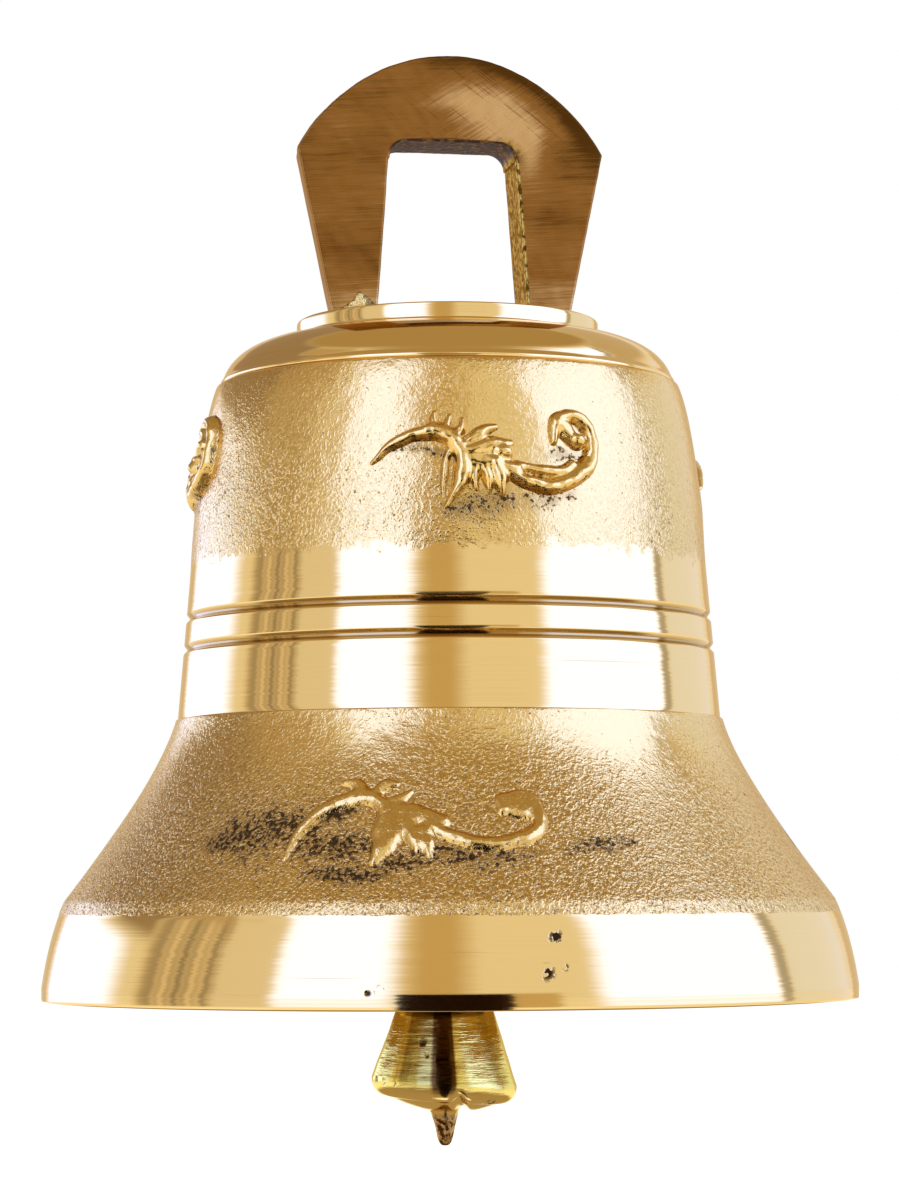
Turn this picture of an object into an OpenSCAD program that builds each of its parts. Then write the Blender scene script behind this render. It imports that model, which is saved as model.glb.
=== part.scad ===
// Cast brass hand bell on a flat hanging loop, with a swinging clapper.
// Every height of the bell is measured up from the lip; the whole part then
// hangs from the flat seat under the top of the loop, which is the origin.

/* [Lip] */
// Diameter of the turned lip edge
lip_d = 120; // [112:1:128]
// Height of the upright turned edge
lip_edge_h = 2.0; // [1:0.1:3]
// Width of the flat ring that the bell stands on
lip_flat = 2.6; // [1.5:0.1:4]
// Height of the polished lip band
lip_band_h = 14.5; // [12:0.5:17]
// How far the lip band draws in up to its top edge
lip_band_draw = 3.3; // [2.6:0.1:4.6]
// How far the lip band has drawn in at its bend
lip_bend_draw = 1.1; // [0.6:0.1:1.6]
// Height of this bend
lip_bend_h = 9.6; // [8:0.2:11]
// Wall of the sound bow behind the lip band
bow_wall = 5.6; // [4.5:0.1:7]
// Extra wall where the sound bow is fullest
bow_swell = 1.6; // [0.8:0.1:2.4]
// Height where the sound bow is fullest
bow_swell_h = 8.0; // [6:0.5:10]

/* [Waist and barrel] */
// Height where the waist meets the turned band
waist_top_h = 41.0; // [38:0.5:44]
// Diameter of the turned band at its lower edge
band_low_d = 80.3; // [78:0.1:82]
// Ledge of the waist under the turned band
band_ledge = 0.3; // [0.1:0.1:0.6]
// Height of the upper edge of the turned band
band_top_h = 63.5; // [60:0.5:66]
// Diameter of the turned band at its upper edge
band_top_d = 76.5; // [74.5:0.1:77.5]
// Height of the lower groove
low_groove_h = 51.4; // [49:0.1:52.5]
// Height of the upper groove
top_groove_h = 56.0; // [54.5:0.1:58]
// Width of the flat floor of each groove
groove_floor_w = 0.3; // [0.1:0.1:0.6]
// Width of each groove at the surface
groove_w = 1.4; // [0.8:0.1:2]
// Depth of each groove
groove_depth = 0.5; // [0.3:0.05:0.8]
// Height where the barrel starts to draw in
barrel_bend_h = 72.3; // [70:0.1:74]
// How much narrower the barrel is there than at the top of the turned band, in radius
barrel_draw = 0.5; // [0.2:0.1:0.9]
// Height of the shoulder line on top of the barrel
barrel_top_h = 90.6; // [89:0.1:92.5]
// Diameter of the barrel at the shoulder line
barrel_top_d = 68.7; // [67:0.1:70.5]
// How far the rounding of the barrel's top reaches out past the shoulder line
barrel_hip_out = 2.1; // [1.4:0.1:2.6]
// How far the fullest part of that rounding lies under the shoulder line
barrel_hip_drop = 5.1; // [4:0.1:6.5]
// Inward lean of the waist just above the lip band, as a slope
waist_low_lean = 0.74; // [0.66:0.02:0.82]
// Inward lean of the waist just below the turned band, as a slope
waist_top_lean = 0.29; // [0.21:0.02:0.41]
// Height over which the lower lean is held
waist_low_reach = 7.5; // [6:0.5:9]
// Height over which the upper lean is held
waist_top_reach = 8.0; // [6:0.5:10]
// Wall of the waist
waist_wall = 4.4; // [3.5:0.1:5.5]
// Extra wall low in the waist
waist_low_swell = 0.6; // [0.2:0.1:1.2]
// Wall of the barrel
barrel_wall = 3.8; // [3:0.1:4.5]

/* [Cast scrolls] */
// Height of the middle of the scrolls on the barrel
barrel_scroll_h = 75.0; // [74:0.5:76]
// Relief of the scrolls on the barrel
barrel_scroll_t = 1.3; // [0.7:0.1:1.6]
// Height of the middle of the scrolls on the waist
waist_scroll_h = 25.0; // [24.5:0.5:26]
// Relief of the scrolls on the waist
waist_scroll_t = 0.9; // [0.5:0.1:1.2]

/* [Crown] */
// Radial step at the shoulder line
shoulder_step = 0.7; // [0.3:0.1:1.2]
// Radius of the small bead above the shoulder line
bead_r = 0.45; // [0.3:0.05:0.7]
// Height of the foot of the crown disc
disc_foot_h = 97.8; // [96:0.1:100]
// Thickness of the crown disc
disc_t = 2.5; // [1.5:0.1:4]
// Diameter of the crown disc
disc_d = 45.0; // [43:0.1:47.5]
// Reach of the fillet round the foot of the disc
disc_fillet_w = 0.6; // [0.3:0.1:1.2]
// Height of this fillet
disc_fillet_h = 0.5; // [0.3:0.1:1]
// Chamfer on the rim of the disc
disc_chamfer = 0.3; // [0.2:0.1:0.6]
// Radial reach of the shoulder's rounding outside the disc
shoulder_round_w = 9.4; // [8.5:0.1:10]
// Drop of the shoulder's rounding under the foot of the disc
shoulder_round_drop = 1.0; // [0.6:0.1:1.6]
// Whole thickness of the crown under the disc's face
crown_wall = 7.0; // [5.5:0.1:9]
// Diameter of the boss inside the crown
boss_d = 18; // [14:0.5:22]
// Height of the boss inside the crown
boss_h = 4; // [2:0.5:6]
// Height of the rounding inside the crown
crown_round_h = 8; // [6:0.5:10]
// Width of the rounding inside the crown
crown_round_w = 9; // [7:0.5:11]
// Inward lean of the wall up to that rounding
crown_round_lean = 0.8; // [0.4:0.1:1.2]

/* [Hanging loop] */
// Thickness of the loop's flat bar
loop_t = 9.7; // [8:0.1:12]
// Span over the outside of the loop's feet
loop_foot_w = 34.5; // [33.5:0.1:37]
// Width over the loop's shoulders
loop_w = 45.0; // [43:0.2:48]
// How far out the brow of the loop stays level before it falls
loop_brow = 10.7; // [8:0.1:13]
// Height over which the brow's flanks fall almost straight to the shoulders
loop_flank_h = 5.9; // [4:0.1:8]
// Outward lean of these flanks, as a slope
loop_flank_lean = 0.5; // [0.3:0.05:0.7]
// Height of the shoulders below the seat
loop_shoulder_drop = 1.4; // [0.5:0.1:3]
// Height of the bar over the seat
loop_bar_h = 13.0; // [10:0.2:15]
// Clear height of the window
window_h = 26.8; // [24:0.1:30]
// Width of the window at the disc
window_low_w = 22.9; // [20:0.1:24]
// Width of the window at the seat
window_top_w = 18.9; // [17:0.1:20]
// Radius of the window's upper corners
window_r = 2.6; // [1.5:0.1:4]
// How far the loop sits off the bell's axis, towards +X
loop_shift = 0.4; // [0:0.1:0.8]
// How far the window sits off the middle of the loop, towards -X
window_shift = 0.3; // [0:0.1:0.8]
// Reach of the filler metal round each foot
braze_w = 1.3; // [0.8:0.1:2]
// Thickness of the filler metal at its thin edges
braze_edge = 0.2; // [0.1:0.05:0.4]

/* [Staple] */
// Thread diameter of the staple
staple_d = 6; // [5:0.5:8]
// Length of thread held in the crown
staple_grip = 8.0; // [6:0.5:9]
// How far the staple sits off the bell's axis, towards -X
staple_shift = 0.9; // [0:0.1:1]
// Depth of the drilled hole past the end of the staple
staple_hole_spare = 1.0; // [0.5:0.1:1.5]
// Wire diameter of the staple's eye
staple_wire_d = 5.0; // [4:0.2:6]
// Inner diameter of the staple's eye
staple_eye_d = 10.4; // [10:0.2:13]
// Outer diameter of the washer
washer_d = 12; // [11:0.5:16]
// Thickness of the washer
washer_t = 1.6; // [1:0.1:2.5]
// Play of the washer on the staple, in diameter
washer_play = 0.4; // [0.2:0.1:0.8]
// Width across the flats of the lock nut
nut_af = 10; // [9:0.5:14]
// Thickness of the lock nut
nut_t = 3.2; // [3:0.1:6]
// Free length of thread under the lock nut
staple_neck = 1.2; // [0.8:0.1:3]

/* [Shackle ring] */
// Wire diameter of the ring
ring_wire_d = 4.0; // [3:0.2:4.6]
// Inner diameter of the ring
ring_eye_d = 11.0; // [10.4:0.2:14]

/* [Clapper] */
// Wire diameter of the eye of the shank
shank_eye_wire_d = 4.0; // [3:0.2:4.6]
// Inner diameter of the eye of the shank
shank_eye_d = 9.0; // [9:0.2:12]
// Diameter of the shank
shank_d = 6.0; // [5:0.2:7]
// Depth of the shank in the head
shank_grip = 14; // [10:1:16]
// Height of the top of the head above the lip
head_top_h = 9.0; // [6:0.5:11]
// Wall of the head round the shank at its top
head_neck_wall = 0.5; // [0.4:0.1:1.5]
// Largest diameter of the head
head_d = 21.6; // [19:0.2:24]
// Depth of the head's rim below the lip
head_rim_drop = 12.8; // [10:0.2:16]
// Rounding of the head's rim
head_rim_r = 1.2; // [0.6:0.1:2]
// Depth of the nib's root below the rim
head_dish_h = 4.2; // [3:0.1:5]
// Radius where the underside turns level towards the nib
head_dish_r = 5.8; // [4:0.1:7]
// Height of this turn over the root of the nib
head_dish_turn = 0.3; // [0.1:0.1:0.8]
// Diameter of the nib at its root
nib_root_d = 4.2; // [3:0.1:5]
// Diameter of the nib at its tip
nib_tip_d = 2.3; // [1.5:0.1:2.8]
// Length of the nib
nib_l = 4.5; // [4:0.1:7]

/* [Clearances] */
// Gap between links that hang in each other
link_gap = 0.35; // [0.2:0.05:0.5]
// Radial gap of a screwed or driven rod in its hole
thread_gap = 0.02; // [0.01:0.01:0.05]

/* [Hidden] */
$fn = 96;

// Number of straight steps in each curved stretch of an outline
curve_steps = 8;
// Small overlap that fuses shapes of one casting
fuse = 0.01;
// How far a cutting shape runs past the face that it cuts
cut_over = 1;

lip_r = lip_d / 2;
lip_band_r = lip_r - lip_band_draw;
band_low_r = band_low_d / 2;
band_top_r = band_top_d / 2;
barrel_top_r = barrel_top_d / 2;
disc_r = disc_d / 2;
disc_top_h = disc_foot_h + disc_t;
crown_under_h = disc_top_h - crown_wall;
boss_face_h = crown_under_h - boss_h;

// Height of the hanging seat above the lip
seat_h = disc_top_h + window_h;

// The staple hangs under the boss: washer, nut, neck, then the eye
washer_low_h = boss_face_h - washer_t;
nut_low_h = washer_low_h - nut_t;
staple_eye_r = (staple_eye_d + staple_wire_d) / 2;
staple_eye_h = nut_low_h - staple_neck - staple_eye_r - staple_wire_d / 2;

// The ring rocks on the staple's lowest wire
rock_axis_h = staple_eye_h - staple_eye_r;
ring_r = (ring_eye_d + ring_wire_d) / 2;
ring_h = rock_axis_h + staple_wire_d / 2 + link_gap - ring_eye_d / 2;

// The clapper swings on the ring's lowest wire
swing_axis_h = ring_h - ring_r;
shank_eye_r = (shank_eye_d + shank_eye_wire_d) / 2;
shank_eye_h = swing_axis_h + ring_wire_d / 2 + link_gap - shank_eye_d / 2;

head_r = head_d / 2;
head_neck_r = shank_d / 2 + head_neck_wall;
nib_root_h = -head_rim_drop - head_dish_h;

// Point of a quadratic curve from a to c that leaves and arrives towards b
function bend(a, b, c, t) = (1 - t) * (1 - t) * a + 2 * t * (1 - t) * b + t * t * c;

// Points of such a curve after its start, in curve_steps equal steps
function bend_points(a, b, c) = [for (i = [1:curve_steps]) bend(a, b, c, i / curve_steps)];

// The same for a cubic curve from a to d that leaves towards b and arrives from c
function sweep(a, b, c, d, t) = (1 - t) * bend(a, b, c, t) + t * bend(b, c, d, t);
function sweep_points(a, b, c, d) =
    [for (i = [1:curve_steps]) sweep(a, b, c, d, i / curve_steps)];

// Corner points of the outside, as radius and height
lip_low = [lip_r, lip_edge_h];
lip_top = [lip_band_r, lip_band_h];
lip_bend = [lip_r - lip_bend_draw, lip_bend_h];
waist_top = [band_low_r + band_ledge, waist_top_h];
waist_low_bend = lip_top + waist_low_reach * [-waist_low_lean, 1];
waist_top_bend = waist_top + waist_top_reach * [waist_top_lean, -1];
barrel_bend = [band_top_r - barrel_draw, barrel_bend_h];
barrel_hip = [barrel_top_r + barrel_hip_out, barrel_top_h - barrel_hip_drop];
barrel_top = [barrel_top_r, barrel_top_h];
shoulder_low = [barrel_top_r - shoulder_step, barrel_top_h + bead_r];
shoulder_bend = [disc_r + shoulder_round_w, disc_foot_h - shoulder_round_drop];
shoulder_top = [disc_r + disc_fillet_w, disc_foot_h];

// The wall thickness moves each corner inwards
bow_in = [lip_r - bow_wall - bow_swell, bow_swell_h];
waist_low_in = [lip_band_r - bow_wall, lip_band_h];
waist_low_bend_in = waist_low_bend - [waist_wall + waist_low_swell, 0];
waist_top_bend_in = waist_top_bend - [waist_wall, 0];
waist_top_in = [band_low_r - waist_wall, waist_top_h];
barrel_in = [barrel_bend[0] - barrel_wall, barrel_bend_h];
crown_low_in = [barrel_top_r - barrel_wall, crown_under_h - crown_round_h];
crown_bend_in = crown_low_in + [-crown_round_lean, crown_round_h];
crown_in = crown_low_in + [-crown_round_w, crown_round_h];

// Stretches of the outside that carry the scrolls
waist_points = concat([lip_top], sweep_points(lip_top, waist_low_bend, waist_top_bend, waist_top));
barrel_points = concat(
    [[band_top_r, band_top_h], barrel_bend],
    bend_points(barrel_bend, barrel_hip, barrel_top)
);

outer_points = concat(
    [[0, 0], [lip_r - lip_flat, 0], [lip_r, 0], lip_low],
    bend_points(lip_low, lip_bend, lip_top),
    [for (i = [1:len(waist_points) - 1]) waist_points[i]],
    [[band_low_r, waist_top_h]],
    barrel_points,
    [[shoulder_low[0], barrel_top_h], shoulder_low],
    bend_points(shoulder_low, shoulder_bend, shoulder_top),
    [
        [disc_r, disc_foot_h + disc_fillet_h], [disc_r, disc_top_h - disc_chamfer],
        [disc_r - disc_chamfer, disc_top_h], [0, disc_top_h],
    ]
);

inner_points = concat(
    [[0, -cut_over], [lip_r - lip_flat, -cut_over], [lip_r - lip_flat, 0]],
    bend_points([lip_r - lip_flat, 0], bow_in, waist_low_in),
    sweep_points(waist_low_in, waist_low_bend_in, waist_top_bend_in, waist_top_in),
    [barrel_in, crown_low_in],
    bend_points(crown_low_in, crown_bend_in, crown_in),
    [[0, crown_under_h]]
);

module groove(h) {
    r = band_radius(h);
    half = groove_w / 2 + (groove_w - groove_floor_w) / 2 * cut_over / groove_depth;
    translate([0, 0, h])
        rotate_extrude()
            polygon([
                [r - groove_depth, -groove_floor_w / 2], [r + cut_over, -half],
                [r + cut_over, half], [r - groove_depth, groove_floor_w / 2],
            ]);
}

// Radius of the turned band at a height
function band_radius(h) =
    band_low_r + (band_top_r - band_low_r) * (h - waist_top_h) / (band_top_h - waist_top_h);

// Acanthus scroll, drawn flat in millimetres, x along the wall and y up it.
// Each stroke has a start, a pull point, an end, and its width at start, middle and end.
scroll_strokes = [
    [[-17.2, 0.2], [-14.2, 4.6], [-8.4, 4.7], [0.9, 2.0, 2.4]],
    [[-9.0, 4.8], [-4.6, 5.2], [-4.8, 0.8], [2.4, 2.8, 3.0]],
    [[-4.8, 2.0], [-3.8, -2.0], [-6.9, -5.9], [3.0, 3.0, 0.8]],
    [[-4.6, 2.2], [-1.6, 4.0], [0.4, 5.2], [2.8, 2.6, 1.0]],
    [[-5.0, 1.8], [-1.0, 1.6], [2.8, 0.4], [4.0, 5.4, 3.4]],
    [[-2.4, 0.8], [-1.6, -1.6], [-1.6, -4.0], [3.2, 3.0, 0.8]],
    [[0.4, 0.4], [1.0, -2.0], [1.0, -4.6], [2.6, 2.8, 0.8]],
    [[1.4, -0.2], [7.6, -3.8], [11.6, -1.4], [2.8, 3.2, 2.8]],
    [[10.6, -2.0], [15.0, -0.4], [14.8, 3.8], [2.6, 2.6, 2.2]],
    [[14.9, 3.2], [14.7, 7.8], [10.4, 7.2], [2.2, 2.4, 2.2]],
    [[12.0, 7.0], [8.6, 6.6], [9.8, 3.6], [2.4, 3.8, 2.8]],
];
// Straight steps along a stroke
stroke_steps = 4;
// Places of the scrolls: turn about the axis and lift over the others
barrel_scroll_places = [[0, 0], [104, 0], [178, 0], [260, 2]];
waist_scroll_places = [[-15, 0], [105, 0], [225, 0]];
// Length of the prisms that the strokes are pressed along, square to the wall
press_l = 20;
// How far the foot of a scroll lies inside the wall
scroll_sink = 1.0;
// Droop of a scroll's ends on a leaning wall: past droop_from on the left, and right of its middle
droop_from = 8;
left_droop = 0.13;
right_droop = 0.02;

// Radius of a stretch of the outside at a height, and the lean of its face round there
lean_reach = 2;
function wall_r(points, h) = lookup(h, [for (p = points) [p[1], p[0]]]);
function wall_lean(points, h) =
    atan((wall_r(points, h - lean_reach) - wall_r(points, h + lean_reach)) / (2 * lean_reach));

function droop(x, lean) = sin(lean) * (
    x < -droop_from ? left_droop * pow(x + droop_from, 2) : x > 0 ? right_droop * x * x : 0);

// Width of a stroke, and its direction to the left, at a share of its way
function stroke_w(s, t) = t < 0.5
    ? s[3][0] + (s[3][1] - s[3][0]) * 2 * t
    : s[3][1] + (s[3][2] - s[3][1]) * (2 * t - 1);
function stroke_left(s, t) =
    let (d = (1 - t) * (s[1] - s[0]) + t * (s[2] - s[1]))
    [-d[1], d[0]] / norm(d);

// A point of the flat scroll, seen square to the round wall
function on_wall(p, r, lean) =
    let (turn = p[0] / r * 180 / PI)
    [r * sin(turn), p[1] - droop(p[0], lean) + r * (1 - cos(turn)) * sin(lean)];

module stroke(s, r, lean) {
    left = [for (i = [0:stroke_steps]) let (t = i / stroke_steps)
        on_wall(bend(s[0], s[1], s[2], t) + stroke_w(s, t) / 2 * stroke_left(s, t), r, lean)];
    right = [for (i = [stroke_steps:-1:0]) let (t = i / stroke_steps)
        on_wall(bend(s[0], s[1], s[2], t) - stroke_w(s, t) / 2 * stroke_left(s, t), r, lean)];
    polygon(concat(left, right));
}

// Scrolls of one row: the strokes pressed through a skin that lies over the wall
module scroll_row(places, points, h, relief) {
    intersection() {
        rotate_extrude()
            let (lean = wall_lean(points, h))
            polygon(concat(
                [for (p = points) p + relief * [cos(lean), sin(lean)]],
                [for (i = [len(points) - 1:-1:0]) points[i] - scroll_sink * [cos(lean), sin(lean)]]
            ));
        for (place = places)
            let (at = h + place[1])
            let (r = wall_r(points, at))
            let (lean = wall_lean(points, at))
            rotate(place[0])
                translate([0, -r, at])
                    rotate([90 - lean, 0, 0])
                        translate([0, 0, -press_l / 2])
                            linear_extrude(press_l)
                                for (s = scroll_strokes) stroke(s, r, lean);
    }
}

module bell_shell() {
    color("goldenrod")
    translate([0, 0, -seat_h]) {
        difference() {
            union() {
                rotate_extrude() polygon(outer_points);
                translate([0, 0, barrel_top_h + bead_r])
                    rotate_extrude()
                        translate([shoulder_low[0] - bead_r / 2, 0])
                            circle(bead_r);
                scroll_row(barrel_scroll_places, barrel_points, barrel_scroll_h, barrel_scroll_t);
                scroll_row(waist_scroll_places, waist_points, waist_scroll_h, waist_scroll_t);
            }
            difference() {
                rotate_extrude() polygon(inner_points);
                translate([0, 0, boss_face_h]) cylinder(h = boss_h + fuse, d = boss_d);
            }
            groove(low_groove_h);
            groove(top_groove_h);
            translate([-staple_shift, 0, boss_face_h - cut_over])
                cylinder(
                    h = cut_over + staple_grip + staple_hole_spare,
                    d = staple_d + 2 * thread_gap
                );
        }
    }
}

// Right half of the loop's brow, from its crest down to the shoulder
loop_shoulder = [loop_w / 2, -loop_shoulder_drop];
brow_points = sweep_points(
    [0, loop_bar_h], [loop_brow, loop_bar_h],
    loop_shoulder + loop_flank_h * [-loop_flank_lean, 1], loop_shoulder);

// Outline of the flat bar, in the plane of the loop with the seat at 0
module loop_outline() {
    left_brow = [for (i = [curve_steps - 1:-1:0]) [-brow_points[i][0], brow_points[i][1]]];
    polygon(concat(
        [[0, loop_bar_h]], brow_points,
        [[loop_foot_w / 2, -window_h], [-loop_foot_w / 2, -window_h]],
        left_brow
    ));
}

// Half width of the window at a height under the seat
function window_half(z) = (window_top_w + (window_low_w - window_top_w) * -z / window_h) / 2;

module window_outline() {
    under = -window_h - cut_over;
    translate([-window_shift, 0]) {
        difference() {
            polygon([
                [-window_half(under), under], [window_half(under), under],
                [window_half(0), 0], [-window_half(0), 0],
            ]);
            for (side = [-1, 1])
                translate([side * (window_half(0) - window_r), -window_r])
                    difference() {
                        translate([side > 0 ? 0 : -window_r * 2, 0])
                            square([window_r * 2, window_r * 2]);
                        circle(window_r);
                    }
        }
    }
}

module hanger_loop() {
    color("peru")
    translate([loop_shift, 0, 0])
    rotate([90, 0, 0])
        linear_extrude(loop_t, center = true)
            difference() {
                loop_outline();
                window_outline();
            }
}

// Filler metal round one foot: a low skirt that leans out from the bar to the disc
module foot_braze(side) {
    edges = [side * window_half(-window_h) - window_shift, side * loop_foot_w / 2];
    x_a = min(edges) + loop_shift;
    w = max(edges) - x_a;
    translate([0, 0, -window_h])
        difference() {
            hull() {
                translate([x_a - braze_w, -loop_t / 2 - braze_w, 0])
                    cube([w + 2 * braze_w, loop_t + 2 * braze_w, braze_edge]);
                translate([x_a - braze_edge, -loop_t / 2 - braze_edge, 0])
                    cube([w + 2 * braze_edge, loop_t + 2 * braze_edge, braze_w]);
            }
            translate([0, 0, window_h]) hanger_loop();
        }
}

module left_foot_braze() {
    color("darkgoldenrod") foot_braze(-1);
}

module right_foot_braze() {
    color("gold") foot_braze(1);
}

// Moves a piece of the clapper's chain from its place over the lip's middle to the staple
module on_staple() {
    translate([-staple_shift, 0, -seat_h]) children();
}

// Eye in a plane, bent from round wire, with its centre at a height above the lip
module eye(centre_h, major_r, wire_d) {
    translate([0, 0, centre_h])
        rotate([90, 0, 0])
            rotate_extrude() translate([major_r, 0]) circle(d = wire_d);
}

module clapper_staple() {
    top_h = boss_face_h + staple_grip;
    root_h = staple_eye_h + staple_eye_r;
    color("silver")
    on_staple() {
        eye(staple_eye_h, staple_eye_r, staple_wire_d);
        translate([0, 0, root_h]) cylinder(h = top_h - root_h, d = staple_d);
    }
}

module staple_washer() {
    color("lightgray")
    on_staple()
    translate([0, 0, washer_low_h])
        difference() {
            cylinder(h = washer_t, d = washer_d);
            translate([0, 0, -cut_over])
                cylinder(h = washer_t + 2 * cut_over, d = staple_d + washer_play);
        }
}

module staple_lock_nut() {
    color("silver")
    on_staple()
    translate([0, 0, nut_low_h])
        difference() {
            cylinder(h = nut_t, d = nut_af / cos(30), $fn = 6);
            translate([0, 0, -cut_over])
                cylinder(h = nut_t + 2 * cut_over, d = staple_d + 2 * thread_gap);
        }
}

module shackle_ring() {
    color("slategray")
    on_staple() rotate(90) eye(ring_h, ring_r, ring_wire_d);
}

module clapper_shank() {
    root_h = shank_eye_h - shank_eye_r;
    low_h = head_top_h - shank_grip;
    color("silver")
    on_staple() {
        eye(shank_eye_h, shank_eye_r, shank_eye_wire_d);
        translate([0, 0, low_h]) cylinder(h = root_h - low_h, d = shank_d);
    }
}

module clapper_head() {
    rim = [head_r, -head_rim_drop];
    under = [head_r - head_rim_r, -head_rim_drop - head_rim_r];
    nib_root = [nib_root_d / 2, nib_root_h];
    color("gold")
    on_staple()
        difference() {
            rotate_extrude()
                polygon(concat(
                    [[0, head_top_h], [head_neck_r, head_top_h], rim],
                    bend_points(rim, [rim[0], under[1]], under),
                    bend_points(under, [head_dish_r, nib_root_h + head_dish_turn], nib_root),
                    [[nib_tip_d / 2, nib_root_h - nib_l], [0, nib_root_h - nib_l]]
                ));
            translate([0, 0, head_top_h - shank_grip])
                cylinder(h = shank_grip + cut_over, d = shank_d + 2 * thread_gap);
        }
}

bell_shell();
hanger_loop();
left_foot_braze();
right_foot_braze();
clapper_staple();
staple_washer();
staple_lock_nut();
shackle_ring();
clapper_shank();
clapper_head();
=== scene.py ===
import math
from functools import reduce
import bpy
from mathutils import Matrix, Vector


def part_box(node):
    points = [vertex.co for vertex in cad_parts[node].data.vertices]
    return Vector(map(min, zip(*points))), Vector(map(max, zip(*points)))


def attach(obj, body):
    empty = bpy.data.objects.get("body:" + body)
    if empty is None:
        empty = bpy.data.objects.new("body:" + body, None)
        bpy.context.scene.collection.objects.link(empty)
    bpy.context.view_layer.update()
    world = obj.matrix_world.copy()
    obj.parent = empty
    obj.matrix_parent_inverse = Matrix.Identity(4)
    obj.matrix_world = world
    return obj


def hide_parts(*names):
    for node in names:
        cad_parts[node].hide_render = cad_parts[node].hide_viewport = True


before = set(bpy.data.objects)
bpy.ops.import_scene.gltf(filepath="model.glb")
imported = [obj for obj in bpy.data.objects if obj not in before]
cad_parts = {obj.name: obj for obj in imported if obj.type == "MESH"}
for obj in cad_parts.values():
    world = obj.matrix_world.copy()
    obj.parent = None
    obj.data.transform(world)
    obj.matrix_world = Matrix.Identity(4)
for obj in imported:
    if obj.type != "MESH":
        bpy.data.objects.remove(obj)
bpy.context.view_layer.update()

from types import SimpleNamespace

import bpy
import numpy as np
from bpy.props import FloatProperty, FloatVectorProperty, IntProperty, PointerProperty
from mathutils import Matrix

bl_info = {
    "name": "Cast Hanging Bell",
    "version": (1, 0, 0),
    "blender": (4, 5, 0),
    "location": "View3D > Sidebar > Bell",
    "description": "Builds the surfaces, finishes and studio of a cast hanging bell",
    "category": "Add Mesh",
}

MM = 0.001
SHELL_LOW, SHELL_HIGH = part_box("bell_shell")
LOOP_LOW, LOOP_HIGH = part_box("hanger_loop")
HEAD_LOW, HEAD_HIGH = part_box("clapper_head")
LIP_Z = SHELL_LOW.z / MM
FULL_TURN = 2 * math.pi

# Turn of the camera about the bell's axis; the cards' azimuths are counted from it
CAMERA_AZIMUTH = -10.0


def length(name, millimetres, text):
    """A size property in metres, written here in millimetres."""
    return FloatProperty(name=name, description=text, default=millimetres * MM, precision=5,
                         subtype="DISTANCE", unit="LENGTH")


def colour(name, value, text):
    """A linear colour property."""
    return FloatVectorProperty(name=name, description=text, default=value, size=3, min=0, max=1,
                               subtype="COLOR")


def factor(name, value, text, high=10.0):
    """A plain number property."""
    return FloatProperty(name=name, description=text, default=value, min=-high, max=high, precision=3)


def setting_names(group):
    """Names of a property group's own settings."""
    return [key for key in group.bl_rna.properties.keys() if key not in {"rna_type", "name"}]


def in_mm(group):
    """The lengths of a property group as plain numbers in millimetres, the rest as they are."""
    values = {}
    for key in setting_names(group):
        in_metres = getattr(group.bl_rna.properties[key], "unit", "NONE") == "LENGTH"
        value = getattr(group, key)
        values[key] = value / MM if in_metres else value
    return SimpleNamespace(**values)


class BellShape(bpy.types.PropertyGroup):
    """Outer form of the casting, measured up from the lip"""
    lip_radius: length("Lip radius", (SHELL_HIGH.x - SHELL_LOW.x) / 2 / MM, "Radius of the mouth's edge")
    lip_edge: length("Lip edge", 2.0, "Height of the upright edge at the mouth")
    lip_flat: length("Lip flat", 2.6, "Width of the flat ring under the lip")
    lip_band_top: length("Lip band", 14.5, "Height up to which the lip is turned bright")
    lip_band_radius: length("Lip band radius", 56.7, "Radius at the top of the bright lip")
    waist_top: length("Waist height", 41.0, "Height where the waist ends under the turned band")
    waist_radius: length("Waist radius", 40.45, "Radius at the top of the waist")
    band_ledge: length("Band ledge", 0.3, "How far the band is turned back behind the waist")
    band_top: length("Band height", 63.5, "Height where the turned band ends")
    band_top_radius: length("Band top radius", 38.25, "Radius at the top of the turned band")
    low_groove: length("Lower groove", 51.4, "Height of the lower groove")
    top_groove: length("Upper groove", 56.0, "Height of the upper groove")
    groove_width: length("Groove width", 1.4, "Width of a groove at the surface")
    groove_depth: length("Groove depth", 0.5, "Depth of a groove")
    barrel_bend: length("Barrel bend", 72.3, "Height where the barrel starts to draw in")
    barrel_bend_radius: length("Barrel bend radius", 37.75, "Radius where the barrel starts to draw in")
    barrel_top: length("Barrel height", 90.6, "Height of the barrel's upper edge")
    barrel_top_radius: length("Barrel top radius", 34.35, "Radius of the barrel's upper edge")
    shoulder_step: length("Shoulder step", 0.7, "Width of the step under the shoulder")
    bead_radius: length("Bead radius", 0.45, "Radius of the fine bead round the shoulder")
    disc_foot: length("Disc foot", 97.8, "Height of the crown disc's foot")
    disc_top: length("Disc top", (SHELL_HIGH.z - SHELL_LOW.z) / MM, "Height of the crown disc's face")
    disc_radius: length("Disc radius", 22.5, "Radius of the crown disc")
    boss_face: length("Boss face", 89.3, "Height of the boss that takes the staple")
    boss_radius: length("Boss radius", 9.0, "Radius of the boss under the crown")
    staple_shift: length("Staple shift", -0.9, "Sideways place of the staple's hole")
    ripple: length("Casting ripple", 0.10, "Depth of the slow waves left in the cast skin")
    columns: IntProperty(name="Columns", description="Faces round the bell", default=224, min=48, max=400)


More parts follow.
